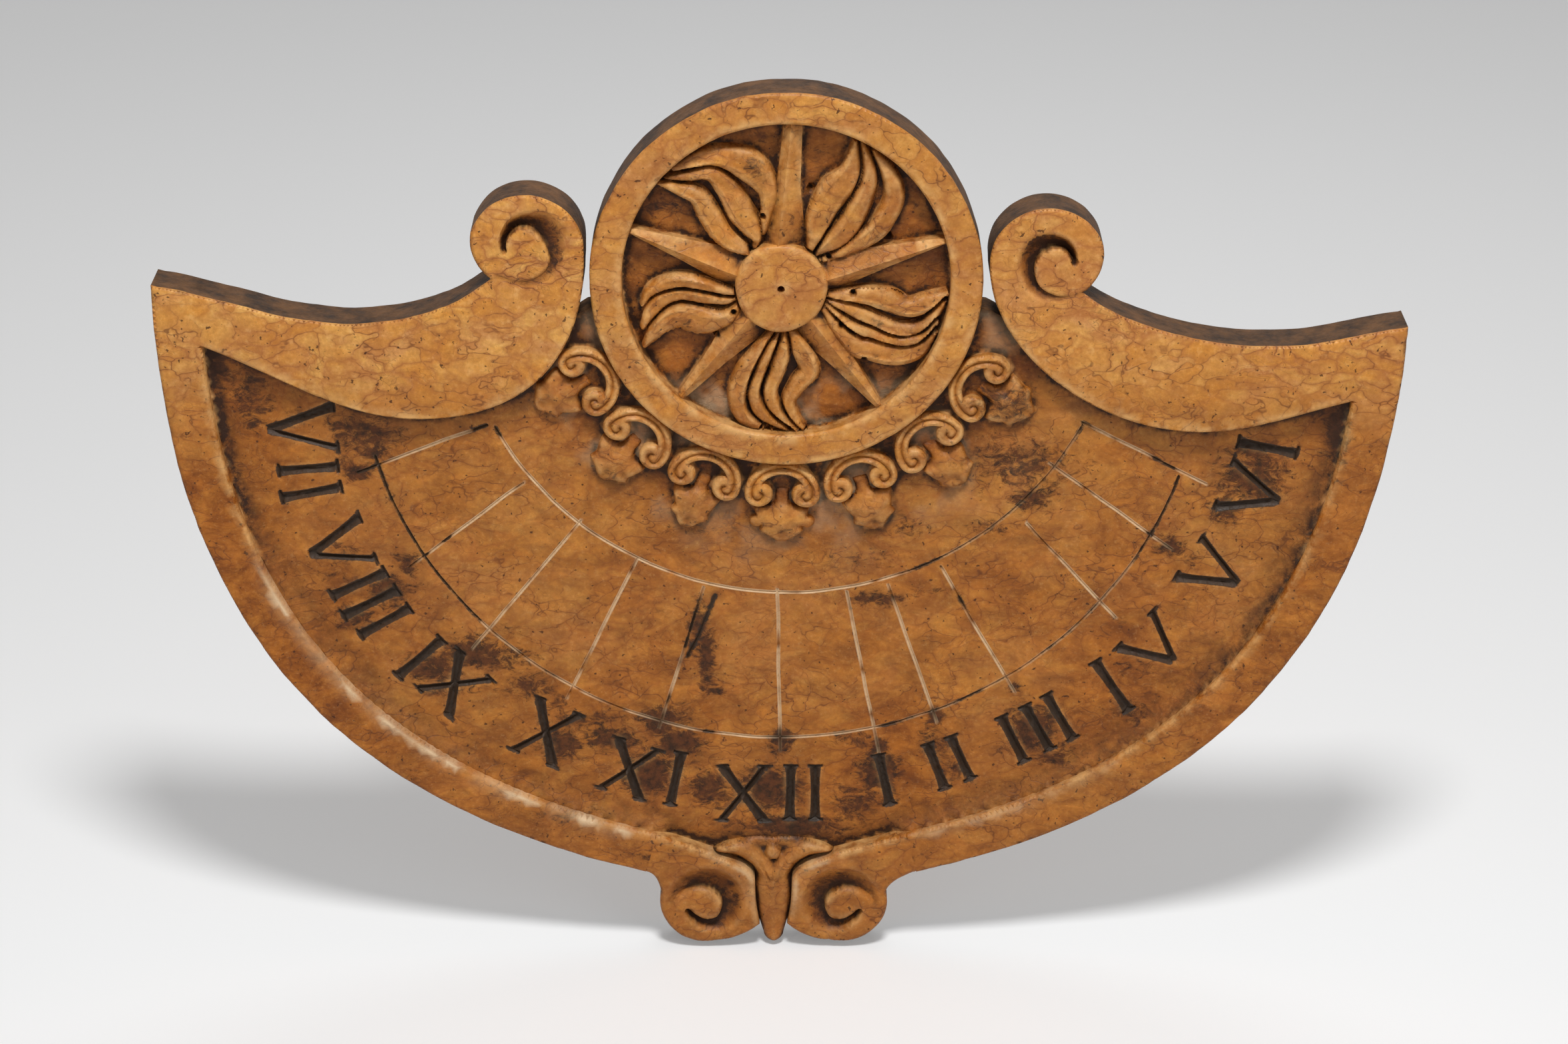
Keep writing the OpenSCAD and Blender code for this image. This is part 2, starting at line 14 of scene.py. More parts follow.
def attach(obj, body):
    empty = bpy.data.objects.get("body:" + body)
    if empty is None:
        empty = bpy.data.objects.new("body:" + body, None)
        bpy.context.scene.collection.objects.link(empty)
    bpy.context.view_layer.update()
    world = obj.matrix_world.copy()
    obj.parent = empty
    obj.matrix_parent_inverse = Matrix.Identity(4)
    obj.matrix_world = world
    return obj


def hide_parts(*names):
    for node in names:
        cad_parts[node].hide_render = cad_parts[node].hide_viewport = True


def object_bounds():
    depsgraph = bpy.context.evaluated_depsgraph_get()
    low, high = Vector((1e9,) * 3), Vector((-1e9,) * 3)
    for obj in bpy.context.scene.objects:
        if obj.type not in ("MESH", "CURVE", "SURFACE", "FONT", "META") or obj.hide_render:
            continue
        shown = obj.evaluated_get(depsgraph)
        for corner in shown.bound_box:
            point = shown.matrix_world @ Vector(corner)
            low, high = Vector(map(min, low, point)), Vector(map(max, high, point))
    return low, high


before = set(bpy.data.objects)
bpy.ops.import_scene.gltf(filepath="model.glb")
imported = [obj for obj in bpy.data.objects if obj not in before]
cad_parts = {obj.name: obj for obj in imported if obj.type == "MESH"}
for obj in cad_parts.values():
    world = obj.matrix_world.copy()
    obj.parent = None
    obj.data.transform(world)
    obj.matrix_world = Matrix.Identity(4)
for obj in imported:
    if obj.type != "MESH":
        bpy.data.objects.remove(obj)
cad_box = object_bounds()

MM = 0.001


# Plain geometry in the plan

def vec(x, z):
    return np.array([x, z], float)


def polar(r, a):
    return np.array([r * math.cos(math.radians(a)), r * math.sin(math.radians(a))])


def unit(x):
    """x, held between 0 and 1."""
    return np.clip(x, 0, 1)


def fade(d, reach):
    """1 at no distance, falling evenly to 0 at reach."""
    return unit(1 - d / reach)


def step(x, lo, hi):
    """A smooth change from 0 at lo to 1 at hi."""
    t = unit((x - lo) / (hi - lo))
    return t * t * (3 - 2 * t)


def length(v):
    return np.hypot(*v.T)


def gap(p, place=(0.0, 0.0)):
    """Distance of each point from one place."""
    return length(p - place)


def left_of(d):
    """Unit vectors to the left of some directions."""
    return np.stack([-d[:, 1], d[:, 0]], 1) / length(d)[:, None]


def close(path):
    return np.vstack([path, path[:1]])


def bezier(p, n=20):
    a, b, c, d = (np.array(q, float) for q in p)
    t = np.linspace(0, 1, n + 1)[:, None]
    return (1 - t) ** 3 * a + 3 * t * (1 - t) ** 2 * b + 3 * t * t * (1 - t) * c + t ** 3 * d


def arc(c, r, a0, a1, n):
    a = np.radians(np.linspace(a0, a1, n + 1))
    return np.array(c, float) + r * np.stack([np.cos(a), np.sin(a)], 1)


def circle(c, r, n):
    return arc(c, r, 0, 360, n)[:-1]


def spline(points, n):
    """A smooth curve through a few points."""
    p = np.array(points, float)
    p = np.vstack([2 * p[0] - p[1], p, 2 * p[-1] - p[-2]])
    out = []
    for i in range(1, len(p) - 2):
        t = np.linspace(0, 1, n, endpoint=False)[:, None]
        a, b, c, d = p[i - 1], p[i], p[i + 1], p[i + 2]
        out.append(0.5 * (2 * b + (c - a) * t + (2 * a - 5 * b + 4 * c - d) * t ** 2
                          + (3 * b - a - 3 * c + d) * t ** 3))
    out.append(p[-2:-1])
    return np.vstack(out)


def resample(path, pitch, closed=True):
    """The same path with points about one pitch apart. Its own corners stay."""
    p = close(path) if closed else np.asarray(path, float)
    p = p[np.concatenate([[True], length(p[1:] - p[:-1]) > 1e-6])]
    at = np.concatenate([[0], np.cumsum(length(p[1:] - p[:-1]))])
    out = []
    for i in range(len(p) - 1):
        n = max(1, int(round((at[i + 1] - at[i]) / pitch)))
        out.append(p[i] + (p[i + 1] - p[i]) * (np.arange(n) / n)[:, None])
    if not closed:
        out.append(p[-1:])
    return np.vstack(out)


def thin(path, least):
    """Drops points of a closed outline that lie closer together than least."""
    out = [path[0]]
    for q in path[1:]:
        if length(q - out[-1]) >= least:
            out.append(q)
    if length(out[-1] - out[0]) < least:
        out.pop()
    return np.array(out)


def inside(p, loop):
    x, z = p[:, 0], p[:, 1]
    hit = np.zeros(len(p), bool)
    for (x0, z0), (x1, z1) in zip(loop, np.roll(loop, -1, axis=0)):
        if z0 == z1:
            continue
        cross = (z0 > z) != (z1 > z)
        hit ^= cross & (x < (x1 - x0) * (z - z0) / (z1 - z0) + x0)
    return hit


def off_segment(p, s, e):
    """Distance from each point to a segment, and the share of it at the nearest place."""
    ab = e - s
    t = unit(((p - s) @ ab) / max(ab @ ab, 1e-12))
    return length(p - s - t[:, None] * ab), t


def to_segments(p, a, b, reach=None):
    """Least distance from each point to a set of segments. A reach leaves out what lies further."""
    best = np.full(len(p), 1e9)
    x, z = p.T
    for s, e in zip(a, b):
        pick = slice(None)
        if reach is not None:
            lo, hi = np.minimum(s, e) - reach, np.maximum(s, e) + reach
            pick = np.nonzero((x > lo[0]) & (x < hi[0]) & (z > lo[1]) & (z < hi[1]))[0]
        if reach is None or len(pick):
            best[pick] = np.minimum(best[pick], off_segment(p[pick], s, e)[0])
    return best


def to_path(p, path, reach=None, closed=False):
    a = np.asarray(path, float)
    return to_segments(p, a if closed else a[:-1], np.roll(a, -1, 0) if closed else a[1:], reach)


def along_path(p, path):
    """Distance to an open path, and the share of its length at the nearest place."""
    lengths = length(path[1:] - path[:-1])
    at = np.concatenate([[0], np.cumsum(lengths)])
    best, share = np.full(len(p), 1e9), np.zeros(len(p))
    for s, e, before, n in zip(path[:-1], path[1:], at, lengths):
        d, t = off_segment(p, s, e)
        near = d < best
        best[near] = d[near]
        share[near] = (before + t[near] * n) / at[-1]
    return best, share


# Repeatable noise

SCATTER = (374761393, 668265263, 974634777, 1274126177)
WORD, SHORT = 0xffffffff, 0xffffff


def lattice(i, j, seed):
    """A number from 0 to 1 for each place of a square lattice."""
    a, b, c, d = SCATTER
    h = (i * a + j * b + seed * c) & WORD
    h = ((h ^ (h >> 13)) * d) & WORD
    return ((h ^ (h >> 16)) & SHORT) / float(SHORT)


def noise(p, size, seed):
    """Smooth noise from -1 to 1, with patches about as large as size."""
    q = np.asarray(p, float) / size
    i = np.floor(q).astype(np.int64)
    f = q - i
    f = f * f * (3 - 2 * f)
    x, z = i[:, 0], i[:, 1]
    low = lattice(x, z, seed) * (1 - f[:, 0]) + lattice(x + 1, z, seed) * f[:, 0]
    high = lattice(x, z + 1, seed) * (1 - f[:, 0]) + lattice(x + 1, z + 1, seed) * f[:, 0]
    return 2 * (low * (1 - f[:, 1]) + high * f[:, 1]) - 1


def clouds(p, size, seed):
    """Three layers of noise, each half as large and half as strong as the one before."""
    total = 0
    for k in range(3):
        total = total + 0.5 ** k * noise(p, size / 2 ** k, seed + 17 * k)
    return total / 1.75


def jitter(p, size, seed_x, seed_z):
    return np.stack([noise(p, size, seed_x), noise(p, size, seed_z)], 1)


# Values shared with the CAD

SLAB, RELIEF, FLOOR = 26.0, 14.0, 22.0
TOP = SLAB + RELIEF
CAP = TOP - 0.05  # nothing carved rises above this
RAY_TOP, TONGUE_TOP, FLAME_TOP = 36.0, 33.6, 34.8
LEAF_TOP, BUD_TOP, DROP_TOP, ARM_TOP, BERRY_TOP = 35.6, 36.0, 36.6, 37.6, 36.0
HALF_W, RIM_W = 488.0, 36.0
RING_C, RING_R, RING_W = vec(4, 6), 152.5, 25.0
INNER_R = RING_R - RING_W
BOSS_R, BOSS_TOP = 36.5, 37.0
SCROLL_R, NECK_R, EYE_R = 45.0, 36.0, 17.0
BASE_X, BASE_EYE, BASE_EYE_Z, BASE_R, BASE_EYE_R = -6.5, 57.0, 541.0, 37.5, 16.0
SCROLL_GAP, JOINT = 5.1, 0.3
PENDANT_R, PENDANT_Z = 8, -580  # the pendant's round tip
SUNK = 1.6  # how far the roundel's pieces reach into its uneven floor
BORE_R, BORE_DEEPER = 3.0, 13.0  # the gnomon's bore, and how far it goes on below the boss
PIN_R, PIN_DEPTH = 6.0, 18.0
PIN_PLACES = [(-230, -60), (230, -60), (-230, -340), (230, -340)]

side_curve = bezier([(HALF_W, 5), (HALF_W + 3, -246), (400, -440), (112, -512)], 80)


def inner_edge(width):
    before = np.vstack([side_curve[:1], side_curve[:-1]])
    after = np.vstack([side_curve[1:], side_curve[-1:]])
    return side_curve - width * left_of(after - before)


inner_curve = inner_edge(RIM_W)


def side_x(z):
    return np.interp(-z, -side_curve[:, 1], side_curve[:, 0])


def inner_x(z):
    return np.interp(-z, -inner_curve[:, 1], inner_curve[:, 0])


def scroll_eye(side):
    z = 32.0 if side < 0 else 21.0
    return vec(side * RING_C[0] + math.sqrt((RING_R + SCROLL_GAP + SCROLL_R) ** 2 - (z - RING_C[1]) ** 2), z)


WING = {
    -1: dict(tip=4.0, dip=vec(335, -28), belly=vec(285, -108), corner=-47.0, full=0.64),
    1: dict(tip=-31.0, dip=vec(385, -47), belly=vec(330, -119), corner=-93.0, full=0.5),
}


def flip(side, p):
    return np.asarray(p, float) * np.array([side, 1.0])


def corner(side):
    z = WING[side]["corner"]
    return vec(inner_x(z), z)


def wing_loop(side):
    w = WING[side]
    c = scroll_eye(side)
    tip, dip, belly = vec(HALF_W, w["tip"]), w["dip"], w["belly"]
    neck = c + polar(NECK_R, -40)
    flank = c - vec(SCROLL_R, 0)
    rise, sweep = dip - neck, tip - dip
    reach, drop = w["full"] * (belly - flank), corner(side) - belly
    top = bezier([tip + vec(4, 0), tip - vec(0.4 * sweep[0], 0.3 * sweep[1]),
                  dip + vec(0.4 * sweep[0], 0), dip])
    top = top[top[:, 0] < side_x(w["tip"]) - 0.5]
    spiral = [c + polar(NECK_R + (SCROLL_R - NECK_R) * (a + 40) / 60, a) for a in range(-35, 21, 5)]
    strip = np.linspace(w["corner"], w["tip"], 12)
    return flip(side, np.vstack([
        top,
        bezier([dip, dip - vec(0.41 * rise[0], 0), neck + vec(0.22 * rise[0], 0.6 * rise[1]), neck])[1:],
        spiral,
        arc(c, SCROLL_R, 25, 180, 40),
        bezier([flank, flank + vec(0, reach[1]), belly - vec(reach[0], 0), belly])[1:],
        bezier([belly, belly + vec(0.36 * drop[0], 0),
                corner(side) - vec(0.36 * drop[0], 0.4 * drop[1]), corner(side)])[1:],
        np.stack([side_x(strip), strip], 1),
    ]))


def rim_loop(side):
    z = WING[side]["corner"]
    outer = side_curve[side_curve[:, 1] < z - 0.5]
    inner = inner_curve[inner_curve[:, 1] < z - 0.5]
    return flip(side, np.vstack([vec(inner_x(z), z), inner, outer[::-1], vec(side_x(z), z)]))


def pendant_half(grow=0.0):
    low = vec(0, PENDANT_R + PENDANT_Z)
    edge = vec(15 + grow, 19 - BASE_EYE_Z)
    lobe = vec(50 + grow, -495)
    stem, flare, bend = edge[1] - low[1], lobe[1] - edge[1], 2.0
    return np.vstack([
        arc(low, PENDANT_R + grow, -90, 0, 8),
        bezier([low + vec(PENDANT_R + grow, 0), low + vec(12.5 + grow, 0.30 * stem),
                edge - vec(0, 0.5 * stem), edge], 10)[1:],
        bezier([edge, edge + vec(0, 0.5 * flare), lobe - vec(18, 0.3 * flare + grow),
                lobe - vec(bend, bend + grow)], 10)[1:],
        bezier([lobe + vec(0, grow), lobe + vec(-12, 10 + grow), vec(14, -495 + 10 + grow + bend),
                vec(0, -485 + grow)], 10),
    ])


def pendant_loop(grow=0.0):
    half = pendant_half(grow)
    return np.vstack([half, (half * [-1, 1])[::-1]]) + vec(BASE_X, 0)


def base_eye(side):
    return vec(BASE_X + side * BASE_EYE, -BASE_EYE_Z)


def base_neck(side):
    """The neck between a base scroll and the fan's foot."""
    middle = side * BASE_X
    c = vec(middle + BASE_EYE, -BASE_EYE_Z)
    flank = c + polar(BASE_R - 1, 12)
    foot_out, foot_in = side_curve[-1], inner_curve[-1]
    return flip(side, np.vstack([
        bezier([vec(middle + 4, -548), vec(middle + 6, -566), c + polar(BASE_R, -112) - vec(9, 2),
                c + polar(BASE_R - 0.3, -104)], 10), c,
        bezier([flank, flank + vec(2, 12), foot_out - vec(8, 2), foot_out], 10),
        foot_in, vec(middle + 49, -495), vec(middle, -500)]))


def field_loop():
    right, left = [flip(s, side_curve[side_curve[:, 1] < WING[s]["corner"]]) for s in (1, -1)]
    top = []
    for s in (1, -1):
        e = scroll_eye(s)
        z = WING[s]["corner"]
        part = [flip(s, q) for q in (vec(side_x(z), z), corner(s), WING[s]["belly"],
                                     vec(e[0] - SCROLL_R, -20))]
        top.append(np.array(part))
    return np.vstack([right, left[::-1], top[1], [[0, 0]], top[0][::-1]])


def ring_circle(r, n=240):
    return circle(RING_C, r, n)


slab_loops = [ring_circle(RING_R), field_loop(), wing_loop(-1), wing_loop(1),
              base_neck(-1), base_neck(1), circle(base_eye(-1), BASE_R, 60),
              circle(base_eye(1), BASE_R, 60), pendant_loop(),
              np.array([[BASE_X - 57, -541], [BASE_X + 57, -541], [BASE_X + 57, -511],
                        [BASE_X - 57, -511]], float)]


def in_any(p, loops):
    hit = np.zeros(len(p), bool)
    for loop in loops:
        hit |= inside(p, loop)
    return hit


# Meshes from height fields

def add_line(pts, edges, line, closed=False):
    """Adds a line's points, and the edges between them, to what is to be triangulated."""
    n, k = len(pts), len(line)
    pts += [tuple(q) for q in line]
    edges += [(n + i, n + (i + 1) % k) for i in range(k if closed else k - 1)]


def triangulate(pts, edges, mode, snap, keep):
    """The triangles between the points, where keep says that the piece is."""
    out = delaunay_2d_cdt([Vector(q) for q in pts], edges, [], mode, snap)
    p = np.array([tuple(v) for v in out[0]])
    tri = np.array([f for f in out[2] if len(f) == 3])
    return p, tri[keep(p[tri].mean(1))]


def renumber(p, tri):
    """Leaves out the points that no triangle uses."""
    used = np.unique(tri)
    new = np.full(len(p), -1)
    new[used] = np.arange(len(used))
    return p[used], new[tri]


def border(tri):
    """The edges that only one triangle has."""
    seen = {}
    for a, b, c in tri.tolist():
        for e in ((a, b), (b, c), (c, a)):
            key = (min(e), max(e))
            seen[key] = None if key in seen else e
    return np.array([e for e in seen.values() if e is not None])


class Relief:
    """A carved piece: an outline in the plan, and a height for each place inside it."""

    def __init__(self, name, loops, height, base, grid, edge, rows, fine=(), lines=(), keep=None,
                 seams=()):
        """grid and edge are the pitch of the points inside and along the outline. rows lie at these
        distances inside it, and lines are kept as edges. seams are outline edges without wear."""
        self.name, self.height, self.base = name, height, base
        self.grid, self.rows, self.fine, self.lines = grid, rows, fine, lines
        self.loops = [thin(resample(q, edge), 0.35 * edge) for q in loops]
        self.keep = keep or (lambda p: in_any(p, self.loops))
        self.outline(seams)

    def outline(self, seams):
        pts, edges = [], []
        for loop in self.loops:
            add_line(pts, edges, loop, True)
        self.back_p, self.back_t = triangulate(pts, edges, 1, 1e-5, self.keep)
        rim = border(self.back_t)
        self.rim_a, self.rim_b = self.back_p[rim[:, 0]], self.back_p[rim[:, 1]]
        free = np.ones(len(rim), bool)
        for a, b in seams:
            free &= (to_segments(self.rim_a, [a], [b]) > 0.5) | (to_segments(self.rim_b, [a], [b]) > 0.5)
        self.free_a, self.free_b = self.rim_a[free], self.rim_b[free]

    def from_edge(self, p, reach=None):
        return to_segments(p, self.rim_a, self.rim_b, reach)

    def from_free_edge(self, p, reach=None):
        """Like from_edge, but without the seams where a flush piece carries on."""
        return to_segments(p, self.free_a, self.free_b, reach)

    def rim_lines(self):
        pts, edges = [], []
        for ends in zip(self.rim_a, self.rim_b):
            add_line(pts, edges, ends)
        return pts, edges

    def points(self):
        """Points inside the outline: a plain grid, finer near detail, and rows along the edge."""
        lo, hi = self.back_p.min(0), self.back_p.max(0)
        sets = []
        layers = [(self.grid, None)] + list(self.fine)
        margin = self.rows[-1] if self.rows else 0
        for k, (pitch, where) in enumerate(layers):
            nx, nz = np.ceil((hi - lo) / pitch).astype(int) + 1
            x, z = np.meshgrid(lo[0] + pitch * np.arange(nx), lo[1] + pitch * np.arange(nz))
            x[1::2] += pitch / 2
            p = np.stack([x.ravel(), z.ravel()], 1)
            p = p + 0.12 * pitch * jitter(p, 1.7 * pitch, 3 + k, 9 + k)
            if where is not None:
                p = p[where(p)]
            p = p[self.keep(p)]
            for _, finer in layers[k + 1:]:
                p = p[~finer(p)]
            sets.append(p[self.from_edge(p, 30) > margin + 0.4 * pitch])
        mid = (self.rim_a + self.rim_b) / 2
        inwards = left_of(self.rim_b - self.rim_a)
        inwards[~self.keep(mid + 0.05 * inwards)] *= -1
        for r in self.rows:
            p = mid + r * inwards
            sets.append(p[(self.from_edge(p) > 0.92 * r) & self.keep(p)])
        return np.vstack(sets)

    def build(self):
        """The front's places in the plan, and its triangles."""
        pts = self.points()
        fixed, edges = self.rim_lines()
        far = np.ones(len(pts), bool)
        for line in self.lines:
            add_line(fixed, edges, line)
            far &= to_path(pts, line, 3) > 0.55
        every = np.vstack([fixed, pts[far]]).tolist()
        return renumber(*triangulate(every, edges, 0, 1e-4, self.keep))


def box_mean(v, k, axis):
    """The mean of 2 k + 1 neighbours along one axis, with zeros beyond the ends."""
    pad = [(0, 0), (0, 0)]
    pad[axis] = (k + 1, k)
    c = np.cumsum(np.pad(v, pad), axis=axis)
    n, wide = v.shape[axis], 2 * k + 1
    return (np.take(c, np.arange(wide, n + wide), axis=axis) - np.take(c, np.arange(n), axis=axis)) / wide


def blur(grid, cells, mask):
    """Blurs a grid, leaving out what lies outside the mask."""
    a, m = np.where(mask, grid, 0.0), mask.astype(float)
    for _ in range(3):
        for axis in (0, 1):
            a, m = box_mean(a, cells, axis), box_mean(m, cells, axis)
    return np.where(m > 1e-6, a / np.maximum(m, 1e-6), 0)


reliefs = []


def carve(*args, **kw):
    r = Relief(*args, **kw)
    reliefs.append(r)
    return r


def face_level(p):
    """The level that the rims, the wings and the base scrolls share."""
    return TOP - 0.35 + 0.25 * clouds(p, 75, 31) + 0.07 * clouds(p, 9, 32)


def rounded(d, r, drop):
    """How far the surface lies below its level at a distance d inside the edge."""
    u = fade(d, r)
    return drop * (1 - np.sqrt(np.maximum(0, 1 - u * u)))


def worn(p, seed, size, level, depth):
    """Chips: mostly nothing, here and there a shallow bite."""
    return depth * unit(noise(p, size, seed) + 0.5 * noise(p, size / 3, seed + 5) - level)


# The dial's lines and numerals

HOURS = [  # inner end, outer end of each hour line from VII to VI
    ((-232, -117), (-337, -158)), ((-205, -167), (-298, -240)), ((-160, -200), (-250, -313)),
    ((-115, -232), (-175, -358)), ((-62, -258), (-100, -385)), ((-3, -260), (-1, -405)),
    ((53, -262), (80, -408)), ((86, -256), (127, -380)), ((128, -240), (190, -352)),
    ((197, -203), (270, -285)), ((213, -150), (313, -225)), ((238, -115), (338, -168)),
]
KERF_W, KERF_D = 2.2, 1.5
CUT_REACH = 10.0  # how far round the cuts the slab's mesh is fine


def wobble(path, amount, seed):
    return path + amount * jitter(path, 22, seed, seed + 40)


hour_lines = [wobble(resample(np.array(q, float), 6, False), 0.5, 60 + i) for i, q in enumerate(HOURS)]
inner_arc = wobble(arc((5.6, -3.6), 259, -153.5, -26, 90), 0.5, 90)
outer_arc = wobble(arc((-0.3, -61.3), 332, -165.5, -17.5, 110), 0.5, 95)
kerfs = hour_lines + [inner_arc, outer_arc]
gash = spline([(-53, -266), (-60, -284), (-68, -304), (-76, -320)], 5)

STROKE, THIN, SERIF = 7.6, 5.4, 3.6  # widths of the letters' strokes
SERIF_REACH = 6.6
CUT_SLOPE, CUT_DEEPEST = 0.62, 3.6  # depth of a stroke for its width, and at most


def letter(kind, top, foot, width=0.0):
    """The strokes of a letter that stands from foot to top: ends and width of each."""
    top, foot = np.array(top, float), np.array(foot, float)
    up = (top - foot) / length(top - foot)
    right = np.array([up[1], -up[0]])
    w, s = width / 2 * right, SERIF_REACH * right

    def serifs(*ends):
        return [(q - s, q + s, SERIF) for q in ends]

    if kind == "I":
        return [(top, foot, STROKE)] + serifs(top, foot)
    if kind == "V":
        return [(top - w, foot, STROKE), (top + w, foot, THIN)] + serifs(top - w, top + w)
    return ([(top - w, foot + w, STROKE), (top + w, foot - w, THIN)]
            + serifs(top - w, top + w, foot - w, foot + w))


LETTERS = [
    ("V", (-352, -119), (-406, -122), 36), ("I", (-352, -153), (-399, -157)),
    ("I", (-350, -171), (-398, -180)),
    ("V", (-331, -215), (-378, -230), 38), ("I", (-318, -245), (-362, -266)),
    ("I", (-309, -261), (-354, -284)), ("I", (-300, -277), (-341, -301)),
    ("I", (-275, -305), (-312, -338)), ("X", (-248, -328), (-284, -362), 36),
    ("X", (-181, -365), (-204, -413), 36),
    ("X", (-117, -400), (-133, -446), 34), ("I", (-82, -408), (-92, -456)),
    ("X", (-31, -420), (-32, -471), 36), ("I", (8, -420), (7, -470)), ("I", (28, -420), (28, -470)),
    ("I", (80, -410), (90, -456)),
    ("I", (120, -400), (135, -441)), ("I", (139, -393), (156, -432)),
    ("I", (180, -375), (200, -416)), ("I", (199, -365), (221, -405)),
    ("I", (216, -355), (239, -395)),
    ("I", (255, -325), (284, -369)), ("V", (286, -296), (319, -324), 42),
    ("V", (327, -232), (368, -255), 40),
    ("V", (352, -168), (397, -183), 42), ("I", (362, -132), (409, -142)),
]
strokes = [stroke for q in LETTERS for stroke in letter(*q)]


def kerf_depth(p):
    d = np.full(len(p), 1e9)
    for line in kerfs:
        d = np.minimum(d, to_path(p, line, 6))
    return KERF_D * fade(d, KERF_W / 2), d


def stroke_half(w, t):
    return w / 2 * (0.84 + 0.42 * np.abs(2 * t - 1) ** 3)


def stroke_depth(p, grow=0.0):
    """Depth of the V-cut strokes, which flare a little at both ends."""
    depth = np.zeros(len(p))
    for a, b, w in strokes:
        ab = b - a
        n = np.hypot(*ab)
        t = ((p - a) @ ab) / n ** 2
        off = np.abs((p[:, 0] - a[0]) * ab[1] - (p[:, 1] - a[1]) * ab[0]) / n
        half = stroke_half(w, t) + grow
        end = unit(np.minimum(t, 1 - t) * n / 1.2 + 0.4)
        cut = np.where((t > -0.02) & (t < 1.02), CUT_SLOPE * w * fade(off, half) * end, 0)
        depth = np.maximum(depth, np.minimum(cut, CUT_DEEPEST))
    return depth


def stroke_lines():
    out = []
    for a, b, w in strokes:
        ab = b - a
        n = np.hypot(*ab)
        u = ab / n
        side = np.array([-u[1], u[0]])
        t = np.linspace(0, 1, max(3, int(n / 4)))
        mid = a + t[:, None] * ab
        half = stroke_half(w, t)[:, None]
        half = half * (1 + 0.10 * noise(mid, 6, 211))[:, None]
        out.append(mid)
        for h in (half, half + 0.8):
            out += [mid + h * side, mid - h * side]
    return out


def kerf_rails():
    out = []
    for line in kerfs:
        n = left_of(np.gradient(line, axis=0))
        out.append(line)
        for w in (KERF_W / 2, KERF_W / 2 + 0.7):
            out += [line + w * n, line - w * n]
    return out


def near_cut(p):
    """Whether a line, a numeral or the gash is near."""
    best = np.full(len(p), 1e9)
    for line in kerfs + [gash]:
        best = np.minimum(best, to_path(p, line, CUT_REACH + 1))
    for a, b, _ in strokes:
        best = np.minimum(best, to_segments(p, [a], [b], CUT_REACH + 1))
    return best < CUT_REACH


# The slab

def cove(p):
    """The hollow moulding that runs along the foot of the rim."""
    out = np.zeros(len(p))
    for side in (-1, 1):
        path = flip(side, inner_curve[inner_curve[:, 1] < WING[side]["corner"]])
        d = to_path(p, path, 26)
        steep = step(p[:, 1], -250, -150) * (side < 0)
        wide = 17 - 9 * steep
        out = np.maximum(out, (8 - 3 * steep) * fade(d, wide) ** 1.8)
    return out


HOLES = [(37, 24), (56, -5), (47, -32), (-14, 58), (23, 78), (-50, -40), (65, -60), (83, 39), (-37, -21)]
HOLE_R, HOLE_DEPTH = 3.2, 6


def slab_height(p):
    flat = SLAB - 0.15 + 0.22 * clouds(p, 70, 1) + 0.10 * clouds(p, 9, 2)
    flat = flat + cove(p)
    r = gap(p, RING_C)
    depth, _ = kerf_depth(p)
    depth = np.maximum(depth, stroke_depth(p))
    g, s = along_path(p, gash)
    depth = np.maximum(depth, 2.2 * fade(g, 3.4 * (1 - s) + 1))
    rough = step(r, 290, 215) * step(p[:, 1], -60, -130)
    flat = flat - depth + 0.5 * rough * clouds(p, 13, 4)
    floor = FLOOR - 0.1 + 1.1 * clouds(p, 11, 6) + 0.45 * clouds(p, 3.5, 7)
    for x, z in HOLES:
        floor = floor - HOLE_DEPTH * fade(gap(p, (x, z)), HOLE_R) ** 0.5
    floor = floor - BORE_DEEPER * (gap(p) < BORE_R + 2)
    return np.where(r < INNER_R + 0.5, floor, flat)


def on_show(p):
    """Where the slab's own face can be seen."""
    r = gap(p, RING_C)
    return (r < INNER_R + 4) | (r > RING_R - 3)


def fine_part(p):
    return on_show(p) & (inside(p, field_loop()) | near_cut(p) | (gap(p, RING_C) < RING_R))


def finest_part(p):
    return near_cut(p) | (gap(p, RING_C) < INNER_R)


slab = carve("dial_slab", slab_loops, slab_height, 0.0, grid=9.0, edge=5.0, rows=(),
             fine=[(4.0, fine_part), (2.2, finest_part)],
             lines=kerf_rails() + stroke_lines()
             + [close(ring_circle(INNER_R + w)) for w in (1.0, 0.2)] + [gash])


# Rims, wings, ring, boss

SIDES = ((-1, "left"), (1, "right"))


def edge_loss(r, p, seed, radius=2.2, drop=1.8, chips=1.6):
    """What wear has taken off the edges of a rim or a wing."""
    d = r.from_free_edge(p, 14)
    loss = rounded(d, radius * (1 + 0.4 * noise(p, 30, seed)), drop)
    return loss + fade(d, 5) * worn(p, seed + 3, 16, 0.45, chips)


def rim_height(side):
    def height(p):
        r = rims[side]
        inner = to_path(p, flip(side, inner_curve), 30)
        low = step(p[:, 1], -200, -300) * step(p[:, 1], -505, -440)
        soft = (side < 0) * low
        level = face_level(p)
        worn_in = rounded(inner, 4 + 6 * soft, 1.5 + 2.6 * soft) + 0.5 * soft * worn(p, 28, 9, 0.1, 2)
        return level - edge_loss(r, p, 24 + side) - worn_in * (inner < 15)
    return height


def wing_seam(side):
    z = WING[side]["corner"]
    return flip(side, vec(inner_x(z), z)), flip(side, vec(side_x(z), z))


def foot_seam(side):
    return flip(side, side_curve[-1]), flip(side, inner_curve[-1])


rims = {}
for side, word in SIDES:
    rims[side] = carve("rim_" + word, [rim_loop(side)], rim_height(side), SLAB, grid=6.0, edge=4.0,
                       rows=(0.7, 1.6, 3.4), seams=[wing_seam(side), foot_seam(side)])


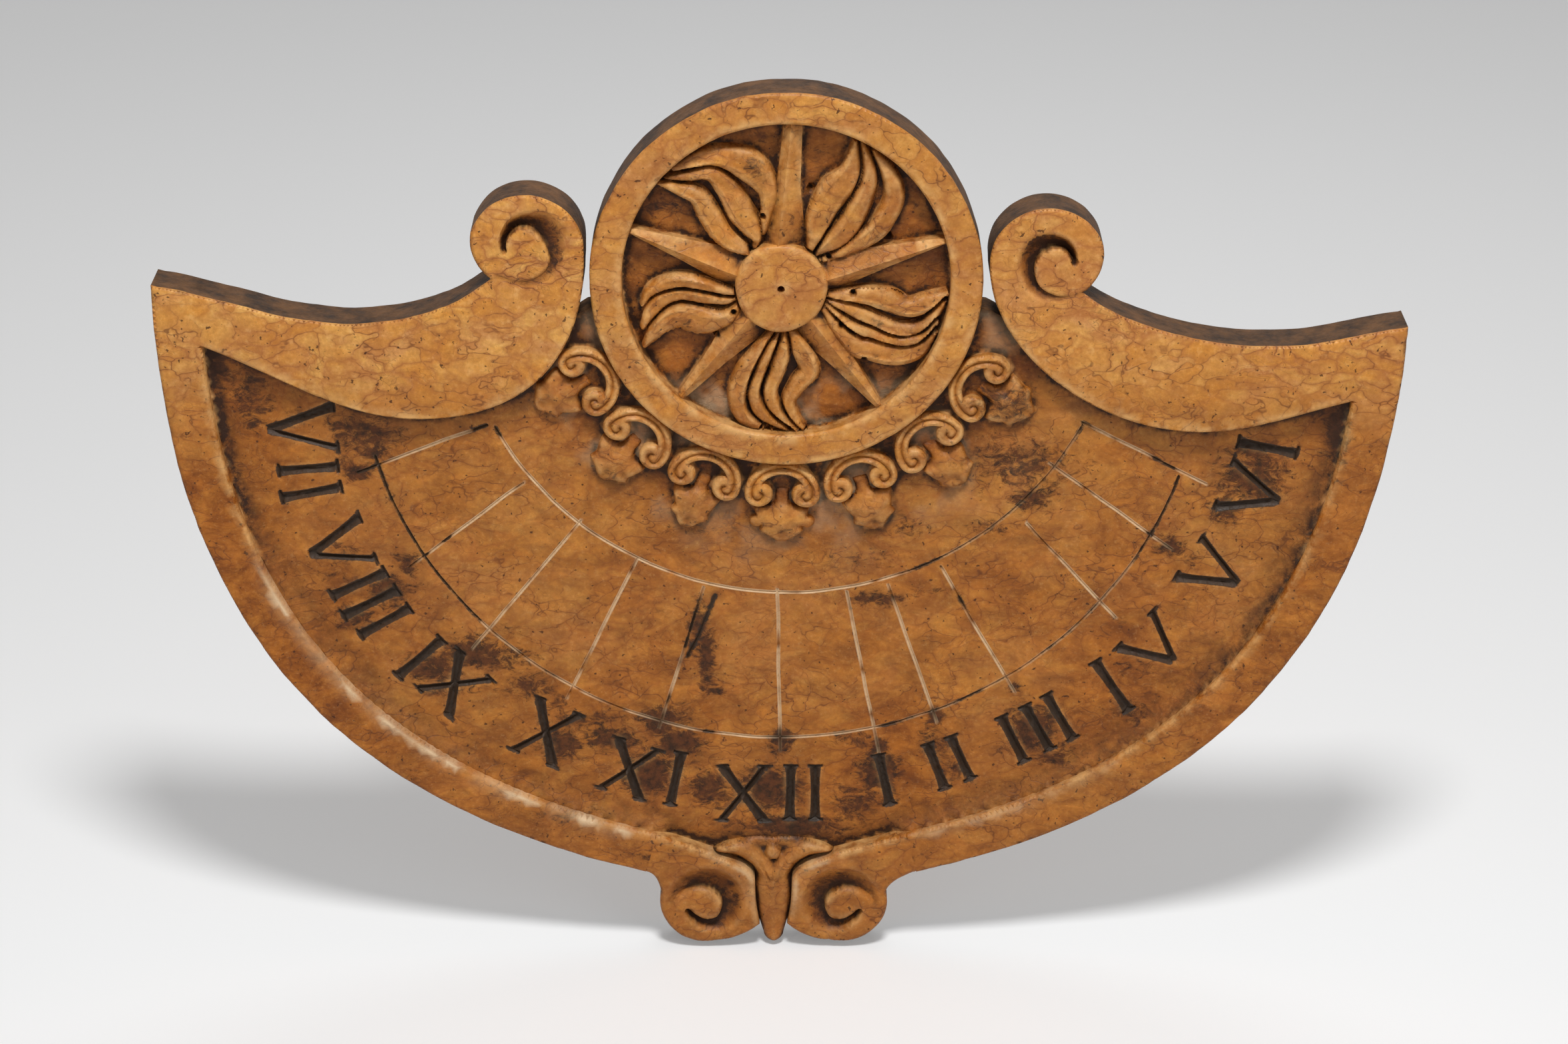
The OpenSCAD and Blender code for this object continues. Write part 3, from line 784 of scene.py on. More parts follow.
# The edge of each scroll's knob from its slot to where it runs out, seen on the right-hand side,
# then the groove's widths and depths at even steps along it.
KNOBS = {
    -1: ([(15, 2.3), (13.9, 8.4), (10.2, 13.8), (5.9, 17.6), (0.3, 18.5), (-7, 15.5), (-13.2, 8), (-17.5, -3),
          (-16.9, -11.8), (-10.7, -19.2), (-0.9, -23.7), (11, -23.5), (22, -20)],
         [5, 8, 12, 20, 22, 18, 12, 8, 6, 4, 3], [10, 10, 9.5, 8.5, 7.0, 4.6, 2.9, 2.2, 1.8, 1.2, 0.4]),
    1: ([(18.5, 3), (15, 8.5), (9.9, 12.1), (2, 12), (-4.9, 7.4), (-9.2, 0.6), (-9.8, -6.1), (-7.3, -15.5),
         (-1.5, -21.5), (8.7, -25.6), (20, -25), (28, -22)],
        [5, 9, 14, 18, 15, 12, 10, 8, 5, 4, 3], [10, 10, 9.5, 9, 9, 8, 6.5, 4, 2.0, 1.0, 0]),
}
BASE_KNOB = ([(12, -8), (6.7, -13), (-1.3, -16.5), (-9.9, -14), (-14, -4.3), (-11.5, 5.4), (-3.5, 11.5),
              (7.8, 12.7), (19, 9), (27.5, 1)],
             [5, 7, 11, 16, 20, 22, 22.5, 21, 17, 11, 6], [9, 9.5, 9.5, 9.5, 9.5, 9.5, 9, 8, 6.5, 4.4, 2])
KNOB_WALL = 0.9  # how far a knob's wall leans out from its top to its foot


def knob_edge(c, side, knob):
    return c + flip(side, spline(knob[0], 5))


def knob_lines(c, side, knob):
    """The top and the foot of the knob's wall, as edges for the mesh."""
    top = knob_edge(c, side, knob)
    n = -left_of(np.gradient(top, axis=0))
    if inside(top + KNOB_WALL * n, top).mean() > 0.5:
        n = -n
    return [top, (top + KNOB_WALL * n)[1:-1]]


def volute(p, c, side, knob, soft, bowl):
    """What is cut away round a scroll's knob: a narrow slot that opens into a dish."""
    _, widths, depths = knob
    path = knob_edge(c, side, knob)
    d, t = along_path(p, path)
    at = np.linspace(0, 1, len(widths))
    v = d / np.interp(t, at, widths)
    cut = np.interp(t, at, depths) * (1 - unit(v) ** bowl) * step(d, 0, KNOB_WALL)
    lip = soft[1] * unit(1 - v)
    return np.where(inside(p, path), rounded(d, *soft), np.maximum(cut, lip))


def wing_height(side):
    def height(p):
        r = wings[side]
        c = flip(side, scroll_eye(side))
        level = face_level(p)
        cut = volute(p, c, side, KNOBS[side], (3.5, 1.2), 1.7)
        near = gap(p, c)
        crown = 0.5 * unit(1 - (near / EYE_R) ** 2)
        rough = 0.6 * unit(cut / 5) * clouds(p, 6, 35)
        loss = edge_loss(r, p, 36 + side, 2.6, 2.2, 2.2)
        return np.minimum(level + crown, CAP) - cut + rough - loss
    return height


wings = {}
for side, word in SIDES:
    c = flip(side, scroll_eye(side))
    wings[side] = carve("wing_" + word, [wing_loop(side)], wing_height(side), SLAB, grid=6.0, edge=3.5,
                        rows=(0.7, 1.6, 3.2), seams=[wing_seam(side)],
                        lines=knob_lines(c, side, KNOBS[side]),
                        fine=[(1.8, lambda p, c=c: gap(p, c) < SCROLL_R - 3)])


def ring_height(p):
    level = TOP - 0.3 + 0.3 * clouds(p, 60, 41) + 0.06 * clouds(p, 8, 42)
    d = np.abs(gap(p, RING_C) - (RING_R + INNER_R) / 2)
    edge = RING_W / 2 - d
    notch = 4.0 * fade(gap(p, (-149, 42)), 9)
    loss = rounded(edge, 2.6 * (1 + 0.35 * noise(p, 25, 43)), 2.1)
    chips = fade(edge, 4.5) * worn(p, 44, 15, 0.5, 1.6)
    return np.minimum(level, CAP) - loss - notch - chips


ring_loop = ring_circle(RING_R, 220)
ring_hole = ring_circle(INNER_R, 190)
carve("sun_ring", [ring_loop, ring_hole], ring_height, SLAB, grid=5.0, edge=4.0, rows=(0.8, 1.8, 3.4),
      keep=lambda p: inside(p, ring_loop) & ~inside(p, ring_hole))

boss_loop = np.array([polar(BOSS_R - 0.7 + 0.55 * math.sin(math.radians(3 * a + 40))
                            + 0.25 * math.sin(math.radians(7 * a)), a) for a in range(0, 360, 5)])


def boss_height(p):
    r = gap(p)
    edge = to_path(p, boss_loop, 10, True)
    level = BOSS_TOP - 0.15 - 1.2 * (r / BOSS_R) ** 3 + 0.25 * clouds(p, 18, 51)
    return level - rounded(edge, 3.0, 2.2) - fade(edge, 4) * worn(p, 54, 10, 0.4, 1.4)


boss_hole = circle((0, 0), BORE_R, 24)
carve("sun_boss", [boss_loop, boss_hole], boss_height, FLOOR - SUNK, grid=3.2, edge=2.4,
      rows=(0.8, 1.8), keep=lambda p: inside(p, boss_loop) & ~inside(p, boss_hole))


# Rays and flames

def reach_to_ring(a, r):
    off = math.radians(a) - math.atan2(RING_C[1], RING_C[0])
    shift = float(np.hypot(*RING_C))
    return shift * math.cos(off) + math.sqrt(r * r - (shift * math.sin(off)) ** 2)


RAYS = [  # angle, lean of the crest and half width of the tip
    (86, 0.30, 6.2), (17, -0.25, 1.8), (-52, 0.15, 2.2), (-131, -0.15, 2.8), (158, 0.2, 1.8),
]


class Ray:
    """A straight ridged ray from the boss to the ring."""

    def __init__(self, k):
        self.k = k
        angle, self.lean, self.tip = RAYS[k]
        self.u, self.v = polar(1, angle), polar(1, angle + 90)
        self.end = reach_to_ring(angle, INNER_R)

    def share(self, x):
        return unit((x - BOSS_R) / (self.end - BOSS_R))

    def half(self, t):
        return 15.5 * (1 - t) + 4 * t

    def loop(self):
        end = self.end - 0.4
        side = [(BOSS_R - 5, 17), (BOSS_R + 8, 15.2), (0.62 * end, 9.2), (end - 5, self.tip + 1.2),
                (end, self.tip)]
        pts = side + [(x, -w) for x, w in reversed(side)]
        return np.array([x * self.u + w * self.v for x, w in pts])

    def crest(self):
        x = np.linspace(BOSS_R - 2, self.end - 3, 16)
        w = self.lean * self.half(self.share(x))
        return x[:, None] * self.u + w[:, None] * self.v

    def height(self, p):
        x, w = p @ self.u, p @ self.v
        t = self.share(x)
        half = self.half(t)
        crest = self.lean * half
        span = np.where(w > crest, half - crest, half + crest)
        off = np.abs(w - crest) / np.maximum(span, 1)
        level = RAY_TOP - 10.0 * (1 - t * 0.62) * off - 1.2 * fade(x - BOSS_R, 8)
        rough = 0.4 * clouds(p, 11, 60 + self.k) + 0.35 * clouds(p, 4, 65 + self.k) * unit(2 * off)
        return np.minimum(level + rough - 0.4 * t, RAY_TOP) - 6 * drilled(p)


for k in range(len(RAYS)):
    ray = Ray(k)
    loop = ray.loop()
    carve("ray_%d" % (k + 1), [loop], ray.height, FLOOR - SUNK, grid=3.0, edge=2.6, rows=(0.8,),
          lines=[ray.crest()], keep=lambda p, q=loop: inside(p, q) & (gap(p) > BOSS_R - 4))

TONGUES = [  # x, z and half width along each tongue, from the boss to its tip
    [[(26, 39, 9), (31, 58, 11.5), (41, 77, 13), (53, 94, 7.5), (57, 118, 2.5)],
     [(48, 42, 11), (60, 64, 9.5), (68, 84, 7.5), (67, 100, 5.5), (62, 117, 2.5)],
     [(67, 40, 7), (80, 55, 9), (87, 73, 8.5), (83, 91, 6.5), (71, 111, 2.5)]],
    [[(67, -7, 7), (84, -12, 10), (99, -18, 8), (113, -14, 8), (130, -5, 3)],
     [(53, -18, 6), (70, -27, 6.5), (90, -36, 7), (110, -34, 7), (121, -21, 5), (128, -11, 2.5)],
     [(53, -32, 5), (70, -38, 5.5), (90, -45, 6), (109, -42, 6), (121, -29, 3)],
     [(56, -48, 7), (71, -53, 9), (90, -57, 10), (107, -53, 8), (121, -37, 3)]],
    [[(-18, -54, 6), (-29, -73, 8.5), (-34, -94, 8.5), (-27, -112, 7), (-7, -121, 3)],
     [(-9, -50, 5.5), (-16, -68, 6.5), (-22, -90, 7), (-14, -108, 6), (7, -121, 2.5)],
     [(3, -49, 6), (-2, -68, 6.5), (-9, -87, 6.5), (-4, -103, 6), (13, -121, 2.5)],
     [(22, -67, 9), (14, -81, 8), (6, -96, 6.5), (9, -109, 6), (20, -122, 2.5)]],
    [[(-44, -4, 5), (-61, 1, 7), (-81, 3, 7.5), (-100, -4, 6), (-108, -16, 2.5)],
     [(-42, -12, 5), (-59, -10, 6.5), (-79, -7, 7.5), (-96, -15, 8), (-108, -35, 3)],
     [(-42, -26, 8), (-59, -29, 12), (-79, -24, 11), (-94, -32, 8), (-107, -50, 2.5)]],
    [[(-11, 61, 5), (-10, 79, 9), (-24, 97, 13), (-47, 105, 9.5), (-67, 102, 7), (-90, 94, 3)],
     [(-17, 40, 8.5), (-30, 59, 11), (-41, 79, 9.5), (-55, 92, 7), (-76, 89, 5), (-94, 89, 2.5)],
     [(-44, 41, 8), (-55, 58, 9.5), (-64, 73, 8), (-77, 79, 6), (-96, 86, 2.5)]],
]
TILT = [1, -1, 1, -1, 1]
TONGUE_STEP = [0.0, -0.9, 0.3, -0.6]
NECKS = [(50, -7), (-14, -4), (-96, 5), (190, 7), (118, 7)]  # angle of the first tongue, then its step


def tongue(points, angle):
    """The spine of a tongue from the boss outwards, its half widths, its outline and its left half."""
    start = tuple(polar(BOSS_R - 1, angle)) + (4.2,)
    q = spline([start] + points, 6)
    spine, half = q[:, :2], np.maximum(q[:, 2], 1.5)
    out = half[:, None] * left_of(np.gradient(spine, axis=0))
    left = spine + out
    return spine, half, np.vstack([left, (spine - out)[::-1]]), np.vstack([left, spine[::-1]])


def drilled(p):
    """The small holes that the carver drilled between the flames."""
    cut = np.zeros(len(p))
    for x, z in HOLES:
        cut = np.maximum(cut, unit((2.6 - gap(p, (x, z))) / 1.1))
    return cut


def in_roundel(p):
    r = gap(p, RING_C)
    return (r < INNER_R - 0.3) & (gap(p) > BOSS_R + 0.3)


def flame_height(k, shapes):
    def height(p):
        margin, level = [], []
        for i, (spine, half, loop, left) in enumerate(shapes):
            d, t = along_path(p, spine)
            h = np.interp(t, np.linspace(0, 1, len(half)), half)
            margin.append(h - d)
            off = unit(d / np.maximum(h, 1))
            turn = np.where(inside(p, left), 1, -1)
            tilt = 1.3 * off * turn * TILT[k]
            combed = 0.55 * noise(np.stack([turn * d, 16 * t], 1), 2.8, 170 + 5 * k + i)
            ridge = 0.9 * fade(np.abs(d - 0.45 * h), 1.3) * (tilt > 0) * step(h, 5, 8)
            level.append(TONGUE_TOP - 1.2 * t - 3.0 * unit(1 - 7 * t) + TONGUE_STEP[i]
                         - 2.6 * off ** 2.4 + tilt + ridge + combed)
        margin, level = np.array(margin), np.array(level)
        order = np.argsort(-margin, axis=0)
        first, second = (np.take_along_axis(margin, order[i:i + 1], 0)[0] for i in (0, 1))
        top = np.take_along_axis(level, order[:1], 0)[0]
        wide = 0.45 + 0.55 * step(noise(p, 17, 160 + k), -0.45, 0.35)
        groove = 6.8 * wide * fade(first - second, 2.2 + 1.8 * wide) ** 0.9 * step(second, -2.0, -0.5)
        brim = rounded(np.maximum(first, 0), 3.8, 5.0)
        rough = 0.65 * clouds(p, 7, 70 + k) + 0.4 * clouds(p, 3, 80 + k)
        return np.clip(top - groove - brim + rough, FLOOR + 2, FLAME_TOP) - 8 * drilled(p)
    return height


for k, (group, (first, turn)) in enumerate(zip(TONGUES, NECKS)):
    shapes = [tongue(q, first + i * turn) for i, q in enumerate(group)]
    carve("flames_%d" % (k + 1), [q[2] for q in shapes], flame_height(k, shapes), FLOOR - SUNK,
          grid=1.2, edge=1.8, rows=(0.7,),
          keep=lambda p, loops=[q[2] for q in shapes]: in_any(p, loops) & in_roundel(p))


# The leaf collar

LEAF_ANGLES = [-91 + (k - 4) * 20.2 for k in range(1, 8)]
ARCH_R, BAND, ARCH_EYE = 28.0, 10.5, 10.5
ARCH_LIFT = RING_R + JOINT + ARCH_R
ARCH_EYES = [(s * (ARCH_R - ARCH_EYE), 0) for s in (-1, 1)]
LEAF_WIDE, LEAF_SUNK = 1.07, 0.9


def at_leaf(k, p):
    """From a leaf's own plan, with the ring below it, to the dial's plan."""
    a = math.radians(LEAF_ANGLES[k] - 90)
    q = np.asarray(p, float) * [LEAF_WIDE, 1] + [0, ARCH_LIFT]
    c, s = math.cos(a), math.sin(a)
    return RING_C + np.stack([c * q[..., 0] - s * q[..., 1], s * q[..., 0] + c * q[..., 1]], -1)


def from_leaf(k, p):
    a = math.radians(LEAF_ANGLES[k] - 90)
    q = p - RING_C
    c, s = math.cos(a), math.sin(a)
    return np.stack([(c * q[:, 0] + s * q[:, 1]) / LEAF_WIDE, -s * q[:, 0] + c * q[:, 1] - ARCH_LIFT], 1)


def spiral_path(side):
    """The line that a leaf scroll's groove follows, from its middle round one eye."""
    mid = ARCH_R - BAND / 2
    down = arc((0, 0), mid, -90, -8, 14)
    c = np.array([ARCH_R - ARCH_EYE, 0.0])
    turn = [c + polar(ARCH_EYE - BAND / 2 - 0.012 * a, a) for a in range(10, 250, 16)]
    return np.vstack([down, turn]) * [side, 1]


def leaf_scroll_height(k):
    paths = [spiral_path(-1), spiral_path(1)]

    def height(p):
        q = from_leaf(k, p)
        d = np.minimum(to_path(q, paths[0]), to_path(q, paths[1]))
        edge = scrolls[k].from_edge(p, 8)
        ridge = 3.0 * fade(d, 2.3)
        eyes = np.minimum(*(gap(q, eye) for eye in ARCH_EYES))
        level = LEAF_TOP + 0.5 * fade(eyes, 4)
        level = level - 1.2 * step(q[:, 1], -14, -28)
        return level - ridge - rounded(edge, 3.4, 3.4) + 0.3 * clouds(p, 7, 100 + k)
    return height


scrolls = {}
for k in range(7):
    eyes = [circle(eye, ARCH_EYE, 28) for eye in ARCH_EYES]
    band = np.vstack([arc((0, 0), ARCH_R, 180, 360, 40), arc((0, 0), ARCH_R - BAND, 360, 180, 30)])
    loops = [at_leaf(k, q) for q in [band] + eyes]
    scrolls[k] = carve("leaf_scroll_%d" % (k + 1), loops, leaf_scroll_height(k), SLAB - LEAF_SUNK,
                       grid=1.9, edge=2.0, rows=(0.7, 1.6),
                       lines=[at_leaf(k, spiral_path(s)) for s in (-1, 1)])


def bud_loop(k):
    """A blunt five-cornered bud on a short neck, in the leaf's own plan."""
    w = 16.5 + 1.2 * math.sin(2.3 * k)
    half = np.array([(6, -5), (5.5, 6), (7, 9), (14, 9.5), (w + 3, 13), (w + 1, 20), (w - 1.5, 27),
                     (w - 0.5, 33), (10, 37), (3.0, 43.5 + math.cos(3.1 * k))], float)
    loop = resample(np.vstack([half, (half * [-1, 1])[::-1]]), 2.0)
    return loop + 0.8 * jitter(loop, 9, 140 + k, 150 + k)


def bud_height(k):
    def height(p):
        q = from_leaf(k, p)
        edge = buds[k].from_edge(p, 20)
        x, z = q.T
        out = np.hypot(x, z - 24)
        crown = BUD_TOP - 0.26 * out
        petals = 1.8 * np.abs(np.cos(np.arctan2(x, z - 24) * 5 / 2)) ** 5 * step(out, 5, 12)
        neck = 2.0 * step(z, 14, 6)
        lump = 1.3 * clouds(p, 8, 120 + k) + 0.6 * clouds(p, 3.5, 130 + k)
        return np.minimum(crown - petals - neck - rounded(edge, 3.6, 3.4) + lump, BUD_TOP)
    return height


buds = {}
for k in range(7):
    loops = [bud_loop(k)]
    if k == 3:
        shoulder = ARCH_EYE + 1 + 0.4 * 38
        loops += [circle((s * 19, shoulder - 2), 17 / 3, 20) for s in (-1, 1)]
    loops = [at_leaf(k, q) for q in loops]
    buds[k] = carve("leaf_bud_%d" % (k + 1), loops, bud_height(k), SLAB - LEAF_SUNK, grid=2.0,
                    edge=2.2, rows=(0.7, 1.8, 3.4))


# The base

def base_height(side):
    def height(p):
        r = bases[side]
        c = base_eye(side)
        cut = volute(p, c, side, BASE_KNOB, (7.0, 2.8), 2.3)
        near = gap(p, c)
        crown = 0.5 * unit(1 - (near / BASE_EYE_R) ** 2)
        rough = 0.4 * unit(cut / 4) * clouds(p, 5, 142)
        soft = 3.4 - 1.2 * step(p[:, 1], -520, -500)
        d = r.from_free_edge(p, 14)
        loss = rounded(d, soft, 2.6) + fade(d, 5) * worn(p, 149, 12, 0.45, 1.6)
        bend = 0.7 * step(near, 24, 40) * step(p[:, 1], -500, -530)
        return np.minimum(face_level(p) + crown, CAP) - cut + rough - loss - bend
    return height


BERRY_R = 6.5
wide_pendant = pendant_loop(JOINT)
bases = {}
for side, word in SIDES:
    eye, neck = circle(base_eye(side), BASE_R, 60), base_neck(side)
    bases[side] = carve("base_scroll_" + word, [eye, neck, wide_pendant], base_height(side), SLAB,
                        grid=2.6, edge=3.0, rows=(0.8, 1.8, 3.6), seams=[foot_seam(side)],
                        lines=knob_lines(base_eye(side), side, BASE_KNOB),
                        keep=lambda p, loops=(eye, neck): in_any(p, loops) & ~inside(p, wide_pendant))


def pendant_height(p):
    q = p - vec(BASE_X, 0)
    x, z = np.abs(q[:, 0]), q[:, 1]
    edge = to_path(p, pendant_loop(), 20, True)
    arm = spline([(0, -530), (5, -515), (14, -502), (28, -493.5), (45, -492.5)], 6)
    off, along = along_path(np.stack([x, z], 1), arm)
    half = 9.5 - 3.0 * along
    ridge = ARM_TOP - 1.6 * along - 6.0 * np.clip(off / half, 0, 1.3) ** 2
    low_body = DROP_TOP - 2.6 * (x / 15) ** 2 + 1.0 * fade(x, 3.5) - 0.02 * np.abs(z + 545)
    share = step(z, -526, -514)
    level = low_body * (1 - share) + np.maximum(ridge, 29.5) * share
    between = step(z, -508, -500) * (off > half) * (x < 24)
    level = np.where(between > 0, np.minimum(level, 30.0), level)
    berry = gap(q, (0, -497)) / BERRY_R
    level = np.maximum(level, np.where(berry < 1, BERRY_TOP - 5 + 5 * np.sqrt(unit(1 - berry ** 2)), 0))
    crease = 1.8 * fade(np.abs(x - 0.42 * (z + 530)), 1.8) * step(z, -530, -520) * step(z, -500, -508)
    return np.minimum(level - crease - rounded(edge, 5, 4.6) + 0.4 * clouds(p, 8, 151), 39.8)


carve("base_pendant", [pendant_loop()], pendant_height, SLAB, grid=1.9, edge=2.4, rows=(0.8, 1.8, 3.4))


# Dirt, wear, stains, painted shade and painted highlights

CELL, MAP_MARGIN = 1.3, 8  # pitch of the height map, and how far it goes on beyond the part
CAD_LO, CAD_HI = (np.array([q[0], q[2]]) / MM for q in cad_box)
MAP_LO = CAD_LO - MAP_MARGIN
MAP_SIZE = np.ceil((CAD_HI + MAP_MARGIN - MAP_LO) / CELL).astype(int)


def height_map():
    """The height of the whole face on a grid, from which the hollows and the crests are read."""
    x, z = np.meshgrid(*(lo + CELL * np.arange(n) for lo, n in zip(MAP_LO, MAP_SIZE)))
    p = np.stack([x.ravel(), z.ravel()], 1)
    level = np.zeros(len(p))
    for r in reliefs:
        used = r.back_p[np.unique(r.back_t)]
        box = np.nonzero(((p > used.min(0)) & (p < used.max(0))).all(1))[0]
        box = box[r.keep(p[box])]
        level[box] = np.maximum(level[box], r.height(p[box]))
    return level.reshape(x.shape)


level_map = height_map()
near_mean, mid_mean, wide_mean = (blur(level_map, cells, level_map > 1) for cells in (2, 5, 12))
# cavity, hollow and deep darken the sunken places: part crevice patina, part painted occlusion shade
maps = {
    "cavity": unit((near_mean - level_map) / 2.2),
    "hollow": unit((mid_mean - level_map) / 4.5),
    "deep": unit((wide_mean - level_map) / 7.0),
    # crest pales the crests: part worn stone, part painted highlight
    "crest": unit((level_map - near_mean - 0.25) / 2.2),
}


def sample(grid, p):
    """A map's value at each place."""
    q = (p - MAP_LO) / CELL
    i = np.clip(np.floor(q).astype(int), 0, MAP_SIZE - 2)
    f = unit(q - i)
    x, z = i[:, 0], i[:, 1]
    a = grid[z, x] * (1 - f[:, 0]) + grid[z, x + 1] * f[:, 0]
    b = grid[z + 1, x] * (1 - f[:, 0]) + grid[z + 1, x + 1] * f[:, 0]
    return a * (1 - f[:, 1]) + b * f[:, 1]


STAINS_AND_SHADE = [  # x, z, half width, half height, strength
    (-378, -112, 34, 16, 0.5), (-345, -150, 26, 22, 0.5), (-320, -140, 22, 16, 0.7),
    (-350, -228, 28, 16, 0.6), (-315, -262, 26, 22, 0.8), (-345, -285, 26, 18, 0.7),
    (-300, -235, 18, 12, 0.7), (-252, -318, 34, 16, 0.9), (-285, -330, 28, 22, 0.8),
    (-220, -300, 30, 14, 0.5), (-205, -345, 30, 20, 0.6), (-180, -400, 26, 22, 0.8),
    (-140, -395, 34, 16, 0.8), (-110, -428, 30, 26, 0.9), (-85, -400, 26, 18, 0.9),
    (-60, -440, 24, 22, 0.8), (-10, -440, 36, 26, 0.9), (10, -475, 60, 12, 0.9),
    (80, -425, 24, 24, 0.9), (60, -455, 26, 18, 0.7), (125, -400, 20, 24, 0.6),
    (142, -425, 22, 18, 0.6), (205, -385, 26, 26, 0.9), (225, -410, 24, 14, 0.7),
    (285, -370, 24, 14, 0.7), (345, -225, 16, 18, 0.4), (380, -170, 26, 20, 0.8),
    (370, -140, 24, 16, 0.7), (355, -190, 20, 16, 0.8), (-350, -130, 30, 12, 0.5),
    (175, -95, 40, 26, 0.6), (200, -180, 24, 14, 0.8), (165, -205, 30, 10, 0.6),
    (-66, -295, 12, 34, 0.8), (-55, -350, 14, 8, 0.7), (80, -268, 26, 10, 0.8),
    (115, -262, 30, 10, 0.5), (-310, -185, 10, 14, 0.6),
    # (-440, -70), (-425, -60), (440, -120), (425, -110) and (-418, -95) are painted shade in the corners
    # under the wings and down the rims' walls
    (-440, -70, 14, 30, 0.7), (-425, -60, 26, 12, 0.7), (440, -120, 12, 34, 0.8),
    (425, -110, 30, 10, 0.6), (-170, -462, 50, 12, 0.5), (-95, -375, 30, 14, 0.8),
    (-182, -362, 22, 12, 0.6), (330, -235, 16, 10, 0.5), (275, -290, 14, 10, 0.5),
    (-130, -310, 10, 12, 0.3), (-2, -400, 14, 14, 0.7), (60, -395, 30, 12, 0.6),
    (90, -500, 30, 10, 0.6), (-100, -498, 30, 12, 0.6), (300, -355, 22, 12, 0.4),
    (-230, -245, 18, 10, 0.3), (105, -345, 10, 20, 0.2),
    (-330, -125, 40, 22, 0.75), (-360, -250, 40, 20, 0.45), (-230, -322, 50, 16, 0.62),
    (-160, -378, 50, 14, 0.62), (-100, -412, 50, 18, 0.62), (-20, -452, 60, 14, 0.6),
    (70, -446, 50, 18, 0.62), (215, -402, 46, 14, 0.62), (375, -160, 40, 40, 0.75),
    (190, -150, 70, 34, 0.62), (60, -232, 60, 16, 0.5), (-270, -345, 50, 20, 0.6),
    (-418, -95, 26, 50, 0.62), (-300, -420, 30, 10, 0.4), (0, -484, 80, 8, 0.6),
    (-60, -320, 9, 44, 0.85), (290, -330, 30, 16, 0.5), (-60, -205, 60, 20, 0.45),
    (100, -205, 40, 20, 0.5), (-185, 38, 22, 24, 0.75), (-172, 20, 14, 26, 0.6),
    (196, 44, 26, 22, 0.8), (176, 20, 12, 30, 0.6), (-85, 90, 16, 16, 0.5), (-20, 100, 14, 22, 0.5),
    (30, 108, 16, 14, 0.4), (100, 76, 18, 16, 0.4), (-90, 62, 22, 14, 0.6), (-48, -66, 16, 14, 0.3),
    (0, -394, 12, 10, 1.0), (-100, -383, 14, 12, 1.0), (80, -402, 10, 10, 0.85),
    (-250, -309, 12, 12, 0.8), (-300, -240, 12, 10, 0.8), (-336, -158, 14, 12, 0.85),
    (126, -374, 10, 10, 0.8), (312, -222, 16, 14, 0.8), (190, -348, 10, 10, 0.7),
    (-46, -540, 14, 26, 0.55), (36, -536, 16, 28, 0.6), (75, -508, 26, 10, 0.5),
]
BUD_STAINS = [(4, 0.42), (-5, 0.50), (6, 0.38), (-4, 0.45), (3, 0.50), (-6, 0.42), (2, 0.6)]
STAINS_AND_SHADE += [tuple(at_leaf(k, (dx, 33))) + (15, 11, q) for k, (dx, q) in enumerate(BUD_STAINS)]


def stain_at(p):
    s = np.zeros(len(p))
    for x, z, w, h, k in STAINS_AND_SHADE:
        d = ((p[:, 0] - x) / w) ** 2 + ((p[:, 1] - z) / h) ** 2
        s = np.maximum(s, k * np.exp(-0.9 * d))
    return unit(s)


# Materials

TONES = {  # sRGB colours of the stone, its dirt and the dowels
    "gold": (238, 182, 98), "amber": (206, 138, 60), "honey": (230, 158, 70), "rose": (212, 150, 96),
    "ochre": (222, 146, 54), "tan": (180, 112, 60), "cloud": (190, 122, 66), "rust": (160, 92, 36),
    "cream": (240, 192, 124), "calm": (204, 138, 66), "calm_light": (226, 158, 82),
    "vein": (92, 48, 22), "grain_dark": (120, 66, 26), "grain_light": (240, 190, 124),
    "speck": (62, 30, 12), "stain": (112, 62, 22), "soot": (26, 13, 6), "umber": (84, 44, 18),
    "dirt_and_shade": (48, 26, 12), "crest": (226, 176, 112), "pale": (222, 191, 152),
    "ink": (14, 9, 6), "ink_worn": (66, 52, 40), "hide": (42, 27, 15), "hide_light": (102, 70, 42),
    "bronze": (150, 110, 60), "bronze_light": (186, 148, 92),
}


def srgb(r, g, b):
    return tuple(((v / 255 + 0.055) / 1.055) ** 2.4 if v > 10 else v / 255 / 12.92 for v in (r, g, b))


